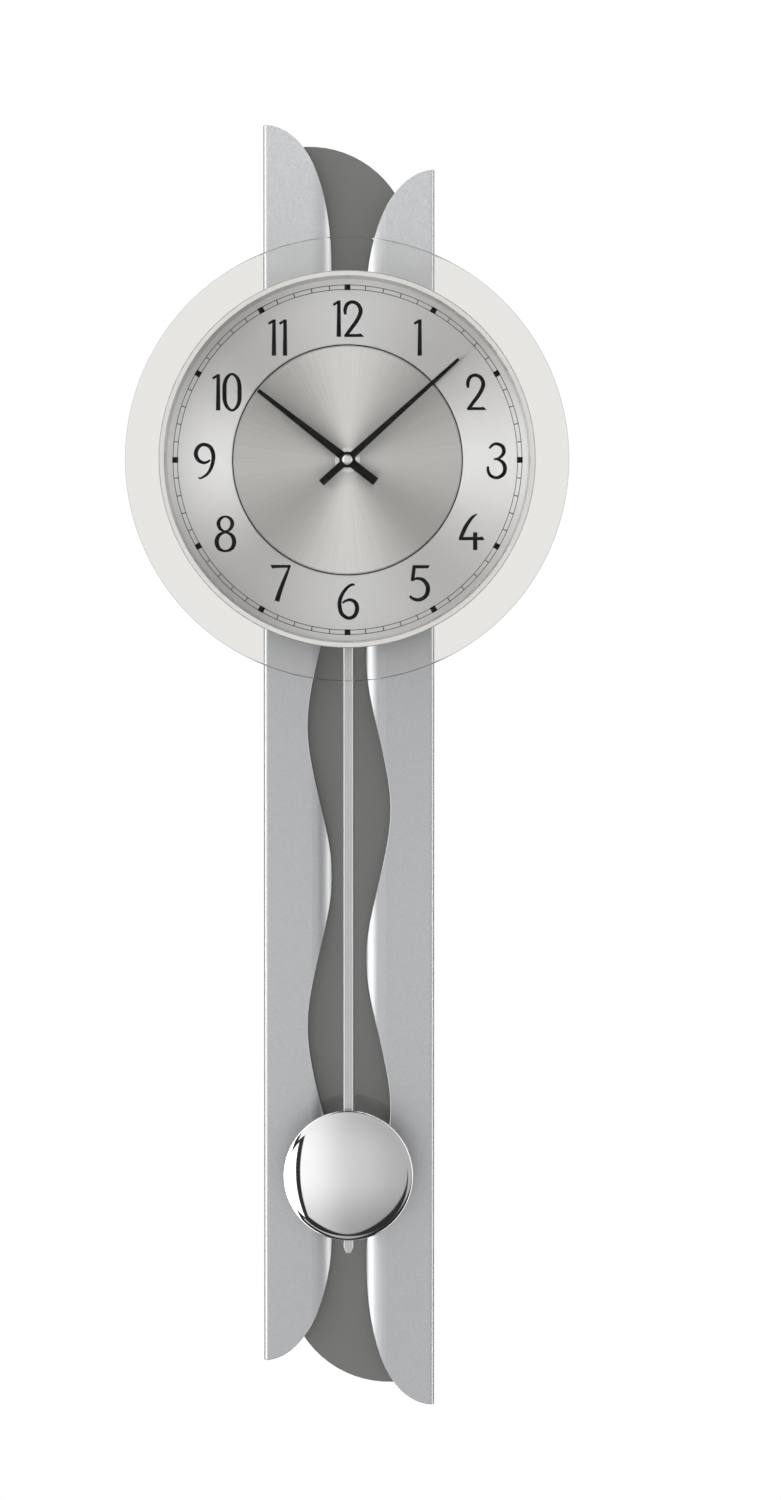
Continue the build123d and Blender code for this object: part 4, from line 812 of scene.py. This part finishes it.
# %% Pendulum finishes
FINISHES.update({
    "bright_chrome": finish("polished chrome", (0.64, 0.64, 0.64), 1.0, 0.035, even(60.0),
                            shade=0.01, rough=0.02, dust=0.0, marks=0.02),
    "rod_aluminium": finish("anodised rod", (0.49, 0.49, 0.495), 1.0, 0.33, drawn(2500.0, 60.0),
                            shade=0.06),
    "pivot_steel": finish("polished pivot steel", (0.60, 0.60, 0.60), 1.0, 0.22,
                          drawn(600.0, 4000.0)),
    "lever_plastic": finish("moulded white lever", (0.78, 0.78, 0.76), 0.0, 0.45, even(1200.0),
                            shade=0.03, height=0.01, Subsurface_Weight=0.05),
    "bob_steel": finish("pressed steel", (0.62, 0.62, 0.63), 1.0, 0.16, even(260.0),
                        shade=0.06, rough=0.06),
    "ballast_iron": finish("iron weight", (0.20, 0.195, 0.19), 0.8, 0.6, even(500.0),
                           shade=0.25, height=0.06),
})
print("finishes so far:", len(FINISHES))

# %% [markdown]
# ## Inside the case
#
# From behind, the service window shows the movement: a black moulded housing, a cell in a plain
# sleeve and the setting knob. Inside it are brass and pale acetal wheels, copper windings and a
# small green board. None of it shows from the front, but the back and a cut-away deserve the same
# care.

# %% Inner finishes
FINISHES.update({
    "movement_plastic": finish("moulded black housing", (0.035, 0.035, 0.036), 0.0, 0.5, even(2200.0),
                               shade=0.2, height=0.02),
    "bush_nickel": finish("nickel plated bush", (0.66, 0.65, 0.62), 1.0, 0.24, even(800.0),
                          shade=0.06, rough=0.08),
    "brass": finish("turned brass", (0.80, 0.60, 0.30), 1.0, 0.28, even(800.0), shade=0.08, rough=0.1),
    "gear_plastic": finish("natural acetal", (0.80, 0.77, 0.68), 0.0, 0.42, even(1100.0),
                           shade=0.05, Subsurface_Weight=0.05),
    "magnet_ferrite": finish("sintered ferrite", (0.09, 0.09, 0.095), 0.3, 0.5, even(2500.0),
                             shade=0.3, height=0.03),
    "stator_iron": finish("stamped soft iron", (0.45, 0.45, 0.46), 1.0, 0.42, even(500.0),
                          shade=0.12, rough=0.15),
    "copper_winding": finish("enamelled copper winding", (0.62, 0.28, 0.12), 0.9, 0.30,
                             drawn(300.0, 6000.0), shade=0.35, height=0.05),
    "board_green": finish("green solder mask", (0.03, 0.17, 0.07), 0.0, 0.30, even(900.0),
                          shade=0.2, Coat_Weight=0.3),
    "chip_black": finish("potting resin", (0.012, 0.012, 0.013), 0.0, 0.22, even(700.0),
                         shade=0.3, height=0.03),
    "crystal_can": finish("tinned can", (0.72, 0.72, 0.74), 1.0, 0.22, even(900.0), shade=0.08),
    "contact_steel": finish("nickel spring strip", (0.68, 0.66, 0.62), 1.0, 0.25,
                            drawn(3000.0, 300.0), shade=0.06),
    "cell_jacket": finish("plain cell sleeve", (0.06, 0.07, 0.11), 0.0, 0.28, even(200.0),
                          shade=0.12, Coat_Weight=0.5),
})
print("all finishes:", len(FINISHES))

# %% [markdown]
# ## Hand the finishes out
#
# The record lists which piece belongs to which material slot, so the finishes are handed out from
# it: no piece can be missed, and the names here and in the record stay the same.

# %% Dress the CAD pieces
for entry in frame["record"]["subparts"]:
    mesh = nodes[entry["node"]].data
    mesh.materials.clear()
    mesh.materials.append(FINISHES[entry["material_slot"]])

# %% Place the remade pieces
REMADE = [
    (glass_disc, "root", "clear_glass", "glass_disc"),
    (dial_plate, "root", "dial_aluminium", "dial_plate"),
    (centre_disc, "root", "centre_aluminium", "dial_centre_disc"),
    (bob_dome, "pendulum", "bright_chrome", "bob_front_shell"),
    (numbers, "root", "hand_black", None),
    # the track piece also carries the painted groove shade, in the same black finish
    (track, "root", "hand_black", None),
]
for piece, body, slot, node in REMADE:
    piece.data.materials.append(FINISHES[slot])
    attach(piece, body)
    if node:
        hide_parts(node)
print("remade or printed:", [piece.name for piece, *_ in REMADE])

# %% [markdown]
# ## The studio
#
# The clock hangs in front of plain white. What shapes metal is what it mirrors: a broad grey sheet
# in front that is brighter towards the left, a bright box of light on either side, and narrow dark
# gaps between them. The sheet is round, so its edge draws a thin dark line inside the bob's rim. All
# that is painted on the world by direction. A path that has met no shiny or dull surface yet sees
# plain white instead, or a soft grey through the glass, which keeps the ground clean.


# %% World
FRONT_LEFT, FRONT_RIGHT, GAP = -42.0, 51.0, 5.0     # degrees round from straight ahead
LEFT_BOX, RIGHT_BOX, BOX_END = 2.2, 1.7, 90.0
SHEET_LEFT, SHEET_LOW, EDGE_OF_SHEET, EDGE_SOFTNESS = 1.8, 4.6, 52.6, 1.5
FRONT_SOFTNESS, BOX_SOFTNESS, WIDE_SOFTNESS = 0.6, 1.0, 4.0
BOX_FOOT, BOX_TOP = -64.0, 70.0
# How the sheet is shaded: (one angle, another, brightness at the one, brightness at the other)
LEFT_TO_MIDDLE, MIDDLE_TO_RIGHT = (-42.0, 8.0, 1.12, 0.70), (0.0, 52.0, 1.0, 0.70)
FOOT_TO_MIDDLE, MIDDLE_TO_TOP = (-58.0, -4.0, 0.58, 1.0), (10.0, 60.0, 1.0, 0.75)
REAR_START, REAR_END, REAR_LIGHT = 120.0, 200.0, 0.45
DARKEST = 0.03
BRIGHTNESS = 1.35
WHITE, BEHIND_GLASS = (1, 1, 1, 1), (0.805, 0.80, 0.785, 1)
NONE_OR_ONE = 0.5          # depths are whole numbers, so a half parts none from one or more


def band(tree, value, start, end, soft):
    """One between two angles, easing to nothing over a soft margin at each."""
    rise = ramp(tree, value, start - soft, start, 0, 1)
    fall = ramp(tree, value, end, end + soft, 1, 0)
    return times(tree, rise, fall)


def front_sheet(tree, round_angle, up_angle):
    """The grey sheet in front: shaded from side to side and up and down, with a round soft edge."""
    tone = times(tree, ramp(tree, round_angle, *LEFT_TO_MIDDLE), ramp(tree, round_angle, *MIDDLE_TO_RIGHT))
    tone = times(tree, tone, ramp(tree, up_angle, *FOOT_TO_MIDDLE))
    tone = times(tree, tone, ramp(tree, up_angle, *MIDDLE_TO_TOP))
    beside = math_node(tree, "ADD", round_angle, SHEET_LEFT)
    above = math_node(tree, "ADD", up_angle, SHEET_LOW)
    squares = math_node(tree, "ADD", times(tree, above, above), times(tree, beside, beside))
    away = math_node(tree, "SQRT", squares)
    shape = band(tree, round_angle, FRONT_LEFT, FRONT_RIGHT, FRONT_SOFTNESS)
    shape = times(tree, shape, ramp(tree, away, EDGE_OF_SHEET, EDGE_OF_SHEET + EDGE_SOFTNESS, 1.0, 0.0))
    return times(tree, shape, tone)


def side_boxes(tree, round_angle, up_angle):
    """The two bright boxes, each from a dark gap beside the sheet round to a right angle."""
    left = band(tree, round_angle, -BOX_END, FRONT_LEFT - GAP, BOX_SOFTNESS)
    right = band(tree, round_angle, FRONT_RIGHT + GAP, BOX_END, BOX_SOFTNESS)
    boxes = math_node(tree, "ADD", times(tree, left, LEFT_BOX), times(tree, right, RIGHT_BOX))
    return times(tree, boxes, band(tree, up_angle, BOX_FOOT, BOX_TOP, WIDE_SOFTNESS))


def studio_light(tree):
    """Brightness by direction: angle round = atan2(x, -y), angle up = asin z, both in degrees."""
    n = wire(tree, place="ShaderNodeTexCoord", split="ShaderNodeSeparateXYZ")
    tree.links.new(n["place"].outputs["Generated"], n["split"].inputs[0])
    x, y, z = (n["split"].outputs[axis] for axis in "XYZ")
    round_angle = math_node(tree, "DEGREES", math_node(tree, "ARCTAN2", x, times(tree, y, -1.0)))
    up_angle = math_node(tree, "DEGREES", math_node(tree, "ARCSINE", z))
    total = math_node(tree, "ADD", front_sheet(tree, round_angle, up_angle),
                      side_boxes(tree, round_angle, up_angle))
    turned_away = math_node(tree, "ABSOLUTE", round_angle)
    rear = times(tree, band(tree, turned_away, REAR_START, REAR_END, WIDE_SOFTNESS), REAR_LIGHT)
    total = math_node(tree, "MAXIMUM", math_node(tree, "ADD", total, rear), DARKEST)
    return times(tree, total, BRIGHTNESS)


def plain_ground(tree):
    """White, or a slightly warm grey-white behind the glass, and how many surfaces a path has met."""
    n = wire(tree, path="ShaderNodeLightPath", tone="ShaderNodeMix")
    n["tone"].data_type = "RGBA"
    n["tone"].inputs[6].default_value = WHITE
    n["tone"].inputs[7].default_value = BEHIND_GLASS
    through_glass = math_node(tree, "GREATER_THAN", n["path"].outputs["Transmission Depth"], NONE_OR_ONE)
    tree.links.new(through_glass, n["tone"].inputs[0])
    met = math_node(tree, "ADD", n["path"].outputs["Glossy Depth"], n["path"].outputs["Diffuse Depth"])
    return n["tone"].outputs[2], met


def make_world():
    """Plain ground for a path that has met nothing yet, and the painted studio for all others."""
    world = bpy.data.worlds.new("studio")
    bpy.context.scene.world = world
    world.use_nodes = True
    tree = world.node_tree
    n = wire(tree, plain="ShaderNodeBackground", mix="ShaderNodeMixShader")
    tone, met = plain_ground(tree)
    tree.links.new(tone, n["plain"].inputs["Color"])
    tree.links.new(math_node(tree, "LESS_THAN", met, NONE_OR_ONE), n["mix"].inputs[0])
    tree.links.new(studio_light(tree), tree.nodes["Background"].inputs["Strength"])
    tree.nodes["Background"].inputs["Color"].default_value = WHITE
    tree.links.new(tree.nodes["Background"].outputs[0], n["mix"].inputs[1])
    tree.links.new(n["plain"].outputs[0], n["mix"].inputs[2])
    tree.links.new(n["mix"].outputs[0], tree.nodes["World Output"].inputs["Surface"])
    print("world nodes:", len(tree.nodes))


make_world()

# %% [markdown]
# One long soft lamp hangs above and in front. It lights the two side panels only, flagged off
# everything else as if with black card, and it is nearest to their tops, so the panels grow darker
# towards the foot. The pale floor lies well below the clock. Polished metal doesn't mirror it, so
# no horizon cuts across the bob.


# %% Lamp and floor
LAMP_PLACE, LAMP_SIZE, LAMP_POWER = (0.1, -0.6, 0.75), (0.9, 0.25), 15      # metres and watts
FLOOR_Z, FLOOR_HALF = -1.0, 1.2


def soft_lamp(name, place, size, power, aim):
    """A rectangular lamp turned towards a point."""
    lamp = bpy.data.lights.new(name, "AREA")
    lamp.shape = "RECTANGLE"
    lamp.size, lamp.size_y = size
    lamp.energy = power
    holder = bpy.data.objects.new(name, lamp)
    bpy.context.scene.collection.objects.link(holder)
    holder.location = place
    holder.rotation_mode = "QUATERNION"
    holder.rotation_quaternion = (Vector(aim) - Vector(place)).to_track_quat("-Z", "Y")
    return holder


lamp = soft_lamp("long_lamp", LAMP_PLACE, LAMP_SIZE, LAMP_POWER, (0, 0, 0))
lit = bpy.data.collections.new("lit by the long lamp")
for name in ("left_side_panel", "right_side_panel"):
    lit.objects.link(nodes[name])
lamp.light_linking.receiver_collection = lit

corners = np.array([[-1, -1], [1, -1], [1, 1], [-1, 1]]) * FLOOR_HALF / MM
floor = mesh_piece("floor", np.column_stack([corners[:, 0], -corners[:, 1], np.full(4, FLOOR_Z / MM)]),
                   np.array([[0, 1, 2, 3]]))
floor.data.materials.append(finish("pale floor", (0.8, 0.8, 0.79), 0.0, 0.7, even(30.0),
                                   shade=0.02, dust=0.0))
floor.visible_glossy = False

# %% [markdown]
# ## Camera
#
# The clock is seen almost straight on, from a little to its right and a little below its dial, with
# a long lens, so its uprights stay upright and the dial stays round.

# %% Camera
CAMERA_PLACE, AIM_POINT = (0.0339, -2.5747, -0.1781), (0.0219, -0.028, -0.2613)
LENS, SENSOR = 115.92, 36

camera = bpy.data.objects.new("camera", bpy.data.cameras.new("camera"))
bpy.context.scene.collection.objects.link(camera)
bpy.context.scene.camera = camera
camera.location = CAMERA_PLACE
camera.rotation_mode = "QUATERNION"
aim = Vector(AIM_POINT) - camera.location
camera.rotation_quaternion = aim.to_track_quat("-Z", "Y")
camera.data.lens = LENS
camera.data.sensor_width = SENSOR
bpy.context.scene.view_settings.view_transform = "Standard"
print("camera aims", tuple(round(v, 3) for v in aim))
